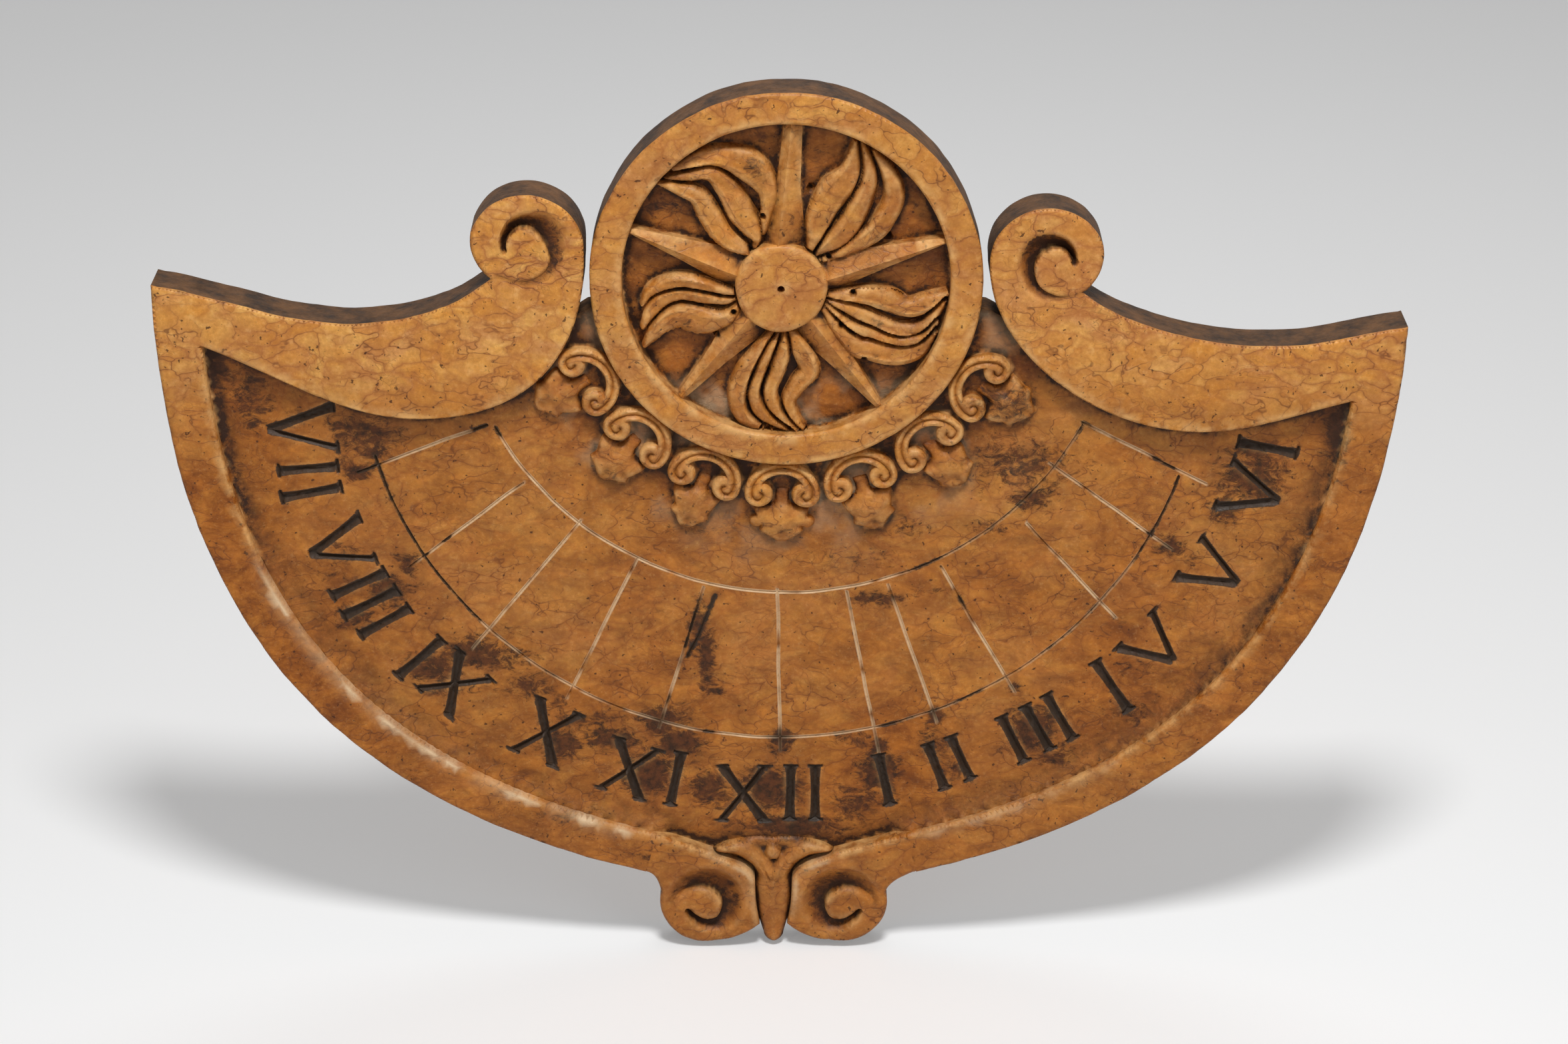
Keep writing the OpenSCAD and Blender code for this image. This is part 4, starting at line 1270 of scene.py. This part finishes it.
class Net:
    """Short names for the few shader nodes in use. A number, a colour or a socket may feed each."""

    def __init__(self, tree):
        self.tree = tree
        tree.nodes.clear()

    def node(self, kind, inputs=None, **values):
        n = self.tree.nodes.new("ShaderNode" + kind)
        for k, v in values.items():
            setattr(n, k, v)
        for k, v in (inputs or {}).items():
            self.put(n.inputs[k], v)
        return n

    def put(self, socket, value):
        if isinstance(value, bpy.types.NodeSocket):
            self.tree.links.new(value, socket)
        else:
            socket.default_value = value

    def math(self, op, a, b=0.0, clamp=False):
        return self.node("Math", {0: a, 1: b}, operation=op, use_clamp=clamp).outputs[0]

    def mul(self, a, b, clamp=False):
        return self.math("MULTIPLY", a, b, clamp)

    def add(self, a, b, clamp=False):
        return self.math("ADD", a, b, clamp)

    def mix(self, fac, a, b, blend="MIX"):
        """Two colours, each a socket, a name from TONES or a linear triple."""
        a, b = (srgb(*TONES[v]) + (1.0,) if isinstance(v, str) else v for v in (a, b))
        n = self.node("Mix", {"Factor": fac, 6: a, 7: b}, data_type="RGBA", clamp_factor=True,
                      blend_type=blend)
        return n.outputs[2]

    def ramp(self, fac, *stops):
        n = self.node("ValToRGB", {0: fac})
        e = n.color_ramp.elements
        while len(e) < len(stops):
            e.new(0.5)
        for q, (at, c) in zip(e, stops):
            q.position = at
            q.color = (c, c, c, 1)
        return n.outputs[0]

    def noise(self, at, scale, detail=3.0, rough=0.5, warp=0.0):
        return self.node("TexNoise", {"Vector": at, "Scale": scale, "Detail": detail,
                                      "Roughness": rough, "Distortion": warp}).outputs["Fac"]

    def attribute(self, name):
        return self.node("Attribute", attribute_name=name).outputs["Fac"]

    def in_view(self):
        """1 for rays that show the surface to the camera, directly or through gloss or glass."""
        ray = self.node("LightPath").outputs
        mirrored = self.math("MAXIMUM", ray["Is Glossy Ray"], ray["Is Transmission Ray"])
        return self.math("MAXIMUM", ray["Is Camera Ray"], mirrored)

    def finish(self, surface, kind="Material"):
        self.node("Output" + kind, {0: surface.outputs[0]})


def new_material(name):
    m = bpy.data.materials.new(name)
    m.use_nodes = True
    return m, Net(m.node_tree)


def marble_material():
    m, n = new_material("marble")
    at = n.node("TexCoord").outputs["Object"]
    flat = n.node("Mapping", {"Vector": at, "Scale": (1.0, 1.0, 1.55)},
                  vector_type="POINT").outputs["Vector"]
    wave = n.node("TexNoise", {"Vector": flat, "Scale": 22, "Detail": 3}).outputs["Color"]
    centre = n.node("VectorMath", {0: wave, 1: (0.5, 0.5, 0.5)}, operation="SUBTRACT").outputs[0]
    shift = n.node("VectorMath", {0: centre, "Scale": 0.07}, operation="SCALE").outputs[0]
    bent = n.node("VectorMath", {0: flat, 1: shift}, operation="ADD").outputs[0]

    def nodules(scale):
        """Nodules: the distance to their edges, and a chance value for each."""
        there = {"Vector": bent, "Scale": scale}
        far = n.node("TexVoronoi", there, feature="DISTANCE_TO_EDGE")
        near = n.node("TexVoronoi", there, feature="F1")
        chance = n.node("SeparateColor", {0: near.outputs["Color"]})
        return far.outputs["Distance"], chance.outputs[0]

    edge, chance = nodules(40)
    small, small_chance = nodules(88)
    drift = n.noise(flat, 17, 5, 0.66, 0.6)
    mottle = n.noise(at, 130, 5, 0.72)
    crystal = n.noise(at, 330, 4, 0.7)
    feather = n.noise(flat, 85, 8, 0.78, 0.8)
    brown, flank, stained = (n.attribute(k) for k in ("brown", "flank", "stain"))

    # golden nodules with browner stone between them
    base = n.mix(chance, "gold", "amber")
    base = n.mix(n.mul(small_chance, 0.4), base, "honey")
    base = n.mix(n.ramp(drift, (0.50, 0.0), (0.66, 0.7)), base, "rose")
    base = n.mix(n.ramp(drift, (0.34, 0.7), (0.48, 0.0)), base, "ochre")
    between = n.mul(n.ramp(edge, (0.0, 1.0), (0.08, 0.50), (0.24, 0.0)),
                    n.ramp(n.noise(at, 12, 3, 0.6), (0.34, 0.30), (0.60, 1.0)))
    base = n.mix(between, base, "tan")
    base = n.mix(n.ramp(n.noise(at, 6, 4, 0.6), (0.48, 0.0), (0.72, 0.55)), base, "cloud")
    base = n.mix(n.ramp(mottle, (0.40, 0.35), (0.58, 0.0)), base, "rust")
    base = n.mix(n.ramp(mottle, (0.56, 0.0), (0.72, 0.40)), base, "cream")

    # the roundel, the collar, the field and the rim are browner than the wings
    smear = n.ramp(n.noise(flat, 34, 7, 0.74, 0.5), (0.36, 0.0), (0.64, 1.0))
    tint = n.mix(smear, (0.27, 0.150, 0.055, 1.0), (0.74, 0.56, 0.30, 1.0))
    base = n.mix(n.mul(brown, 0.55), base, n.mix(drift, "calm", "calm_light"))
    base = n.mix(brown, base, n.mix(1.0, base, tint, "MULTIPLY"))

    # veins, crystals and dark specks
    some = n.ramp(n.noise(flat, 24, 4, 0.6), (0.44, 0.0), (0.58, 1.0))
    vein = n.mul(n.ramp(edge, (0.0, 1.0), (0.010, 0.8), (0.030, 0.0)), some)
    fine = n.mul(n.ramp(small, (0.0, 1.0), (0.02, 0.6), (0.05, 0.0)),
                 n.ramp(n.noise(at, 25, 2, 0.5), (0.50, 0.0), (0.60, 0.8)))
    vein = n.math("MAXIMUM", vein, n.mul(fine, 0.7))
    base = n.mix(n.mul(vein, 0.66), base, "vein")
    base = n.mix(n.ramp(crystal, (0.36, 0.15), (0.50, 0.0)), base, "grain_dark")
    base = n.mix(n.ramp(crystal, (0.56, 0.0), (0.70, 0.15)), base, "grain_light")
    base = n.mix(n.ramp(n.noise(at, 240, 2, 0.5), (0.68, 0.0), (0.73, 0.85)), base, "speck")

    def ragged(amount, width):
        """Breaks a smooth amount up along its edges."""
        return n.add(amount, n.mul(n.math("SUBTRACT", feather, 0.5), width))

    # stains and painted shade, dirt and painted shade in the hollows, crests worn and painted as highlights,
    # pale lines and painted highlights on worn edges, dark cuts with painted shadow beside them, and the dull
    # flanks
    # stains, with painted shade in the corners under the wings and in the scrolls' dishes
    base = n.mix(n.mul(stained, 0.35), base, "stain")
    black = n.mix(n.ramp(n.noise(at, 180, 4, 0.7), (0.38, 0.0), (0.60, 1.0)), "soot", "umber")
    stain = n.ramp(ragged(stained, 1.9), (0.42, 0.0), (0.68, 1.0))
    base = n.mix(n.mul(stain, 0.92), base, black)
    # darker in the cavities and hollows: crevice patina and painted occlusion shade
    dirt_and_shade = n.add(n.mul(n.attribute("cavity"), 0.80), n.mul(n.attribute("hollow"), 0.60))
    dirt_and_shade = n.add(dirt_and_shade, n.mul(n.attribute("deep"), 0.30))
    dirt_and_shade = n.mul(dirt_and_shade, n.ramp(n.noise(at, 60, 7, 0.75), (0.36, 0.30), (0.58, 1.1)), True)
    base = n.mix(dirt_and_shade, base, "dirt_and_shade")
    # paler on the crests: worn stone and a painted highlight
    crest = n.mul(n.attribute("crest"), n.ramp(n.noise(at, 55, 4, 0.7), (0.40, 0.0), (0.62, 0.7)))
    base = n.mix(crest, base, "crest")
    pale = n.mul(n.attribute("pale"), n.ramp(feather, (0.30, 0.45), (0.52, 1.0)))
    base = n.mix(pale, base, "pale")
    # dark in the numerals' and the lines' ink, and painted shadow beside the lines and at the foot of the
    # right-hand rim's wall
    ink = n.ramp(ragged(n.attribute("ink"), 1.5), (0.50, 0.0), (0.74, 0.93))
    base = n.mix(ink, base, n.mix(feather, "ink", "ink_worn"))
    hide = n.mix(n.ramp(n.noise(at, 48, 5, 0.7), (0.35, 0.0), (0.65, 1.0)), "hide", "hide_light")
    base = n.mix(flank, base, hide)

    rough = n.add(n.mul(n.noise(at, 230, 4, 0.7), 0.16), 0.34)
    rough = n.add(rough, n.mul(flank, 0.3))
    rough = n.add(rough, n.mul(dirt_and_shade, 0.2), True)
    pits = n.ramp(n.noise(at, 420, 3, 0.6), (0.30, 0.0), (0.46, 1.0))
    rise = n.add(n.mul(n.noise(at, 90, 3, 0.6), 0.50), n.mul(pits, 0.12))
    rise = n.add(rise, n.mul(n.mul(n.noise(at, 75, 5, 0.7), flank), 2.5))
    rise = n.math("SUBTRACT", rise, n.mul(vein, 0.25))
    rise = n.add(rise, n.mul(n.mul(n.noise(at, 60, 6, 0.72), brown), 2.0))
    bump = n.node("Bump", {"Strength": 0.55, "Distance": 0.0012, "Height": rise})
    n.finish(n.node("BsdfPrincipled", {"Base Color": base, "Roughness": rough, "IOR": 1.45,
                                       "Specular IOR Level": 0.26, "Normal": bump.outputs[0]}))
    return m


def bronze_material():
    m, n = new_material("bronze")
    at = n.node("TexCoord").outputs["Object"]
    tone = n.mix(n.noise(at, 90), "bronze", "bronze_light")
    rough = n.add(n.mul(n.noise(at, 300), 0.3), 0.2)
    n.finish(n.node("BsdfPrincipled", {"Base Color": tone, "Metallic": 1.0, "Roughness": rough}))
    return m


# Making the meshes

slab_rim = (slab.rim_a, slab.rim_b)
BOX_LO, BOX_HI = CAD_LO + 0.05, CAD_HI - 0.05
SHOULDER = 1.2  # how far the first row of the sides lies below the front's edge
WAIST = 14.0  # height of the row half-way down the slab's sides
# the sides take their painted shade from the same place
DRAW_IN = 1.7  # how far inside the edge the sides take their dirt and stains from
SAWN = 0.42  # how much of the flanks' dull skin the sawn back has
SAWN_BROWN = 0.35
SHARP = math.radians(48)
FROM_CARVING = ("cavity", "hollow", "deep", "crest", "stain", "pale", "ink")
BROWN = {"sun_ring": 0.32, "sun_boss": 0.20, "base_pendant": 0.7, "base_scroll_left": 0.75,
         "base_scroll_right": 0.75}
pin_loops = [circle(q, PIN_R, 32) for q in PIN_PLACES]


def shared_wobble(p):
    """Moves the outer edge a little, alike on the slab and on what lies on it."""
    near = fade(to_segments(p, *slab_rim, 12), 8)[:, None]
    w = 0.5 * jitter(p, 26, 201, 202) + 0.22 * jitter(p, 7, 203, 204)
    return np.clip(p + near * w, BOX_LO, BOX_HI)


def open_back(r):
    """The slab's back in the plan, with the wall pins' holes left open."""
    pts, edges = r.rim_lines()
    for loop in pin_loops:
        add_line(pts, edges, loop, True)
    return triangulate(pts, edges, 0, 1e-4, lambda q: r.keep(q) & ~in_any(q, pin_loops))


def back_face(r):
    """A piece's flat back: places in the plan, heights and faces. The slab's has the pin holes."""
    at_back = r.base == 0
    p, tri = renumber(*(open_back(r) if at_back else (r.back_p, r.back_t)))
    places, heights, faces = [p], [np.full(len(p), float(r.base))], tri[:, ::-1].tolist()
    n = len(p)
    for loop in pin_loops if at_back else []:
        k = len(loop)
        places += [loop, loop, loop.mean(0)[None]]
        heights += [np.zeros(k), np.full(k + 1, PIN_DEPTH)]
        for i in range(k):
            j = (i + 1) % k
            faces += [[n + i, n + k + i, n + k + j, n + j], [n + 2 * k, n + k + j, n + k + i]]
        n += 2 * k + 1
    return np.vstack(places), np.concatenate(heights), faces


def in_space(p, height):
    return np.stack([p[:, 0], -height, p[:, 1]], 1)


def shell(r):
    """A piece's closed surface: places, faces, where each point reads its looks, how much of it is
    flank, and how many points the front and the back have."""
    at_back = r.base == 0
    p, tri = r.build()
    h = r.height(p)
    moved = shared_wobble(p)
    rim = border(tri)
    used = np.unique(rim)
    slot = np.full(len(p), -1)
    slot[used] = np.arange(len(used))
    outer = to_segments(p[used], *slab_rim, 6) < 1.2
    top, foot = h[used], np.full(len(used), float(r.base))
    rows = [top - SHOULDER, np.full(len(used), WAIST), foot]
    if not at_back:
        rows = [np.maximum(top - SHOULDER, r.base + 0.2), foot]
    # the slab's outer edge is flank up to the raised pieces that stand on it
    front = np.zeros(len(p))
    front[used[outer]] = 1.0 if at_back else 0.0
    places, faces, flank = [in_space(moved, h)], tri.tolist(), [front]
    above, n = used, len(p)
    a, b = slot[rim].T
    for row in rows:
        here = np.arange(n, n + len(used))
        places.append(in_space(moved[used], row))
        faces += np.stack([above[b], above[a], here[a], here[b]], 1).tolist()
        flank.append(outer.astype(float))
        above = here
        n += len(used)
    back, back_height, back_faces = back_face(r)
    places.append(in_space(shared_wobble(back), back_height))
    faces += [[n + i for i in f] for f in back_faces]
    flank.append(np.full(len(back), SAWN if at_back else 0.0))

    inwards = left_of(p[rim[:, 1]] - p[rim[:, 0]])
    turn = np.zeros((len(p), 2))
    for ends in rim.T:
        np.add.at(turn, ends, inwards)
    turn /= np.maximum(length(turn), 1e-9)[:, None]
    drawn_in = p + DRAW_IN * turn
    plan = np.vstack([drawn_in] + [drawn_in[used]] * len(rows) + [back])
    return np.vstack(places) * MM, faces, plan, np.concatenate(flank), len(p), len(back)


def slab_looks(v, p, rr):
    x, z = p.T
    v["brown"] = np.where(rr < INNER_R + 2, 0.93, 0.70 + 0.26 * step(rr, 250, 175)
                          + 0.16 * step(rr, 330, 430) + 0.25 * clouds(p, 90, 301))
    _, d = kerf_depth(p)
    # the lines are pale, and in places dull or dark
    line = unit((1.6 - d) / 0.6) * step(noise(p, 11, 321), -0.9, -0.2)
    dull = step(noise(p, 30, 303), -0.25, -0.6)
    outer = to_path(p, outer_arc, 4) < 3
    arcs = outer | (to_path(p, inner_arc, 4) < 3)
    dull = np.where(outer & ((x < -240) | (x > 285)), 1.0, dull)
    dull = np.where(arcs & (x > 90), np.maximum(dull, 0.72), dull)
    haze = 0.20 * step(rr, 270, 200) * (rr > RING_R) * step(clouds(p, 24, 305), -0.05, 0.4)
    low_floor = (rr < INNER_R) * step(z, -70, -100)
    haze = np.maximum(haze, 0.42 * low_floor * step(clouds(p, 20, 307), -0.2, 0.3))
    v["pale"] = np.maximum(line * (1.0 - 0.85 * dull), haze) * (1 - 0.85 * v["stain"])
    # painted shade along the foot of the rims' inner walls, the right-hand one most, carried in the hollow
    # value
    right, left = (to_path(p, flip(s, inner_curve), 20) for s in (1, -1))
    shade = unit(1.15 - right / 11) * step(z, -50, -90) * step(z, -390, -300)
    shade = np.maximum(shade, unit(1.1 - left / 8) * step(z, -220, -150))
    v["hollow"] = unit(v["hollow"] + 0.9 * shade)
    for k, share in (("hollow", 0.55), ("deep", 0.5)):
        v[k] = np.where(rr < INNER_R, share * v[k], v[k])
    # painted shadow: a dark band beside each cut line, and a dark line at the foot of the right-hand rim's
    # wall
    kerf_shadow = np.exp(-((d - 1.9) / 0.55) ** 2) * step(noise(p, 12, 325), -0.5, 0.3)
    foot = unit(1.25 - right / 7) * step(z, -60, -100) * step(z, -330, -250)
    v["ink"] = np.max([unit(stroke_depth(p, 1.5) / 1.5), 0.8 * dull * unit((1.7 - d) / 0.7),
                       0.64 * kerf_shadow, 0.85 * unit(1.3 - along_path(p, gash)[0] / 3.5),
                       0.60 * foot], axis=0)


def border_looks(v, p, name):
    """The pale line along the worn inner edge of the rims and the base scrolls: partly worn stone, partly a
    painted highlight.
    """
    z = p[:, 1]
    inner = np.minimum(*(to_path(p, flip(s, inner_curve), 30) for s in (-1, 1)))
    part = step(z, -200, -280) if name == "rim_left" else 0.35 * step(z, -380, -440)
    if name.startswith("base"):
        inner = np.minimum(inner, to_path(p, pendant_loop(), 30, True))
        part = 0.45 * step(z, -572, -530)
    line = unit(1.4 - np.abs(inner - 3.4) / 1.6) * step(noise(p, 16, 311), -0.4, 0.3)
    v["pale"] = part * (0.85 * line + 0.30 * fade(inner, 14) * step(clouds(p, 20, 313), -0.3, 0.3))


def looks(name, p, depth, flank, front):
    """The values that colour a piece: its browns, dirt, stains, pale lines and dark cuts, with painted shade
    in its hollows, dishes and walls and painted highlights on its crests and edges.
    """
    x, z = p.T
    rr = gap(p, RING_C)
    v = {k: sample(g, p) for k, g in maps.items()}
    v.update(stain=stain_at(p), flank=flank, brown=np.full(len(p), BROWN.get(name, 0.0)),
             pale=np.zeros(len(p)), ink=np.zeros(len(p)))
    if name == "dial_slab":
        slab_looks(v, p, rr)
    elif name.startswith(("ray", "flames")):
        v["brown"] = 0.42 + 0.4 * unit((34 - depth) / 8) + 0.25 * clouds(p, 16, 309)
    elif name.startswith("leaf"):
        v["brown"] = (0.58 if name.startswith("leaf_bud") else 0.52) + 0.5 * unit((32 - depth) / 5)
    if name.startswith(("ray", "flames", "dial")):
        v["ink"] = np.maximum(v["ink"], drilled(p))
        grime = 0.46 * step(clouds(p, 15, 333), 0.05, 0.55) * (rr < INNER_R)
        v["stain"] = np.maximum(v["stain"], grime)
    if name.startswith("flames"):
        v["cavity"] = v["cavity"] * (0.40 + 0.60 * step(noise(p, 14, 331), -0.4, 0.4))
    if name.startswith(("rim", "base_scroll")):
        border_looks(v, p, name)
    if name.startswith(("wing", "rim")):
        # the wings are the palest part, the stone turns browner down the sides, and browner in the hollows:
        # patina and painted shade
        brown = 0.05 + 0.87 * step(z, -30, -170) - 0.12 * step(z, -330, -450)
        brown += 0.07 * step(z, -90, -200) * (x < 0)
        v["brown"] = np.maximum(brown, 0.9 * unit(1.4 * v["deep"] + 1.4 * v["hollow"]))
    on_front = np.arange(len(p)) < front
    # the dishes of the wings and base scrolls darken and brown with their depth: part stain, part painted
    # shade
    if name.startswith(("wing", "base_scroll")):
        sunk = unit((TOP - 2.5 - depth) / 6) * (flank < 0.5) * on_front
        dish_stain_and_shade = 0.62 * sunk if name.startswith("wing") else 0.55 * unit(1.3 * sunk) ** 0.7
        v["stain"] = np.maximum(np.where(sunk > 0, 1, 0.3) * v["stain"], dish_stain_and_shade)
        v["brown"] = np.maximum(v["brown"], 0.95 * unit(2 * sunk))
    v["brown"] = unit(v["brown"])
    # painted shade: the walls of the raised pieces are darkened through the hollow value
    inner_wall = ~on_front & (flank < 0.5)
    v["hollow"] = np.where(inner_wall, np.maximum(v["hollow"], 0.55), v["hollow"])
    return v


def make(r):
    places, faces, plan, flank, front, back = shell(r)
    values = looks(r.name, plan, -places[:, 1] / MM, flank, front)
    if r.base == 0:
        # the back is plain sawn stone, and takes nothing from the carving in front of it
        for k in FROM_CARVING:
            values[k][-back:] = 0.0
        values["brown"][-back:] = SAWN_BROWN
    mesh = bpy.data.meshes.new(r.name + "_stone")
    mesh.from_pydata(places.tolist(), [], faces)
    mesh.update()
    for k, a in values.items():
        layer = mesh.attributes.new(k, "FLOAT", "POINT")
        layer.data.foreach_set("value", np.asarray(a, np.float32))
    mesh.materials.append(marble)
    mesh.shade_smooth()
    mesh.set_sharp_from_angle(angle=SHARP)
    obj = bpy.data.objects.new(r.name + "_stone", mesh)
    bpy.context.scene.collection.objects.link(obj)
    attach(obj, "root")
    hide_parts(r.name)
    return len(mesh.polygons)


marble = marble_material()
counts = {r.name: make(r) for r in reliefs}
print("faces", sum(counts.values()), counts)

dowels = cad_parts["bedding_dowels"].data.materials
dowels.clear()
dowels.append(bronze_material())

# Floor, backdrop, lamps, camera

FLOOR_TONE, FLOOR_HALF, FLOOR_GAP = 0.80, 9, 0.004
GLOW = 0.20  # a glow that the camera sees, direct or in gloss, evens the floor out and lights nothing
SKY, SKY_SEEN = 0.18, 0.74  # the world's light, and what is added where it is seen
AIM = Vector((0, 0, -0.2))
LAMPS = [  # name, place, watts, size
    ("key", (0.12, -1.3, 2.4), 64, 0.6), ("fill", (2.0, -2.4, 0.7), 11, 1.6),
    ("front", (-1.8, -2.8, 0.1), 10.5, 2.0), ("rim_light", (0.3, 1.8, 2.2), 12, 1.6),
]
LENS, SENSOR = 85, 36
EYE, EYE_TILT = (0.0023, -2.738, 0.9782), math.radians(66.5)
scene = bpy.context.scene


def floor_material():
    m, n = new_material("studio")
    paint = n.node("BsdfPrincipled", {"Base Color": (FLOOR_TONE,) * 3 + (1,), "Roughness": 0.9})
    glow = n.node("Emission", {"Color": (1, 1, 1, 1), "Strength": n.mul(n.in_view(), GLOW)})
    n.finish(n.node("AddShader", {0: paint.outputs[0], 1: glow.outputs[0]}))
    return m


def floor():
    low = float(cad_box[0][2]) - FLOOR_GAP
    corners = [(x, y, low) for x, y in ((-1, -1), (1, -1), (1, 1), (-1, 1))]
    mesh = bpy.data.meshes.new("floor")
    mesh.from_pydata([(FLOOR_HALF * x, FLOOR_HALF * y, z) for x, y, z in corners], [], [(0, 1, 2, 3)])
    mesh.update()
    mesh.materials.append(floor_material())
    obj = bpy.data.objects.new("floor", mesh)
    scene.collection.objects.link(obj)


def lamp(name, place, watts, size):
    data = bpy.data.lights.new(name, "AREA")
    data.energy = watts
    data.shape = "DISK"
    data.size = size
    obj = bpy.data.objects.new(name, data)
    obj.location = place
    obj.rotation_euler = (AIM - Vector(place)).to_track_quat("-Z", "Y").to_euler()
    scene.collection.objects.link(obj)


floor()
for values in LAMPS:
    lamp(*values)

world = bpy.data.worlds.new("studio")
scene.world = world
world.use_nodes = True
n = Net(world.node_tree)
light = n.add(n.mul(n.in_view(), SKY_SEEN), SKY)
n.finish(n.node("Background", {"Color": (1, 1, 1, 1), "Strength": light}), "World")

camera = bpy.data.cameras.new("camera")
camera.lens = LENS
camera.sensor_width = SENSOR
eye = bpy.data.objects.new("camera", camera)
eye.location = EYE
eye.rotation_euler = (EYE_TILT, 0, 0)
scene.collection.objects.link(eye)
bpy.context.scene.camera = eye
bpy.context.scene.view_settings.view_transform = "Standard"
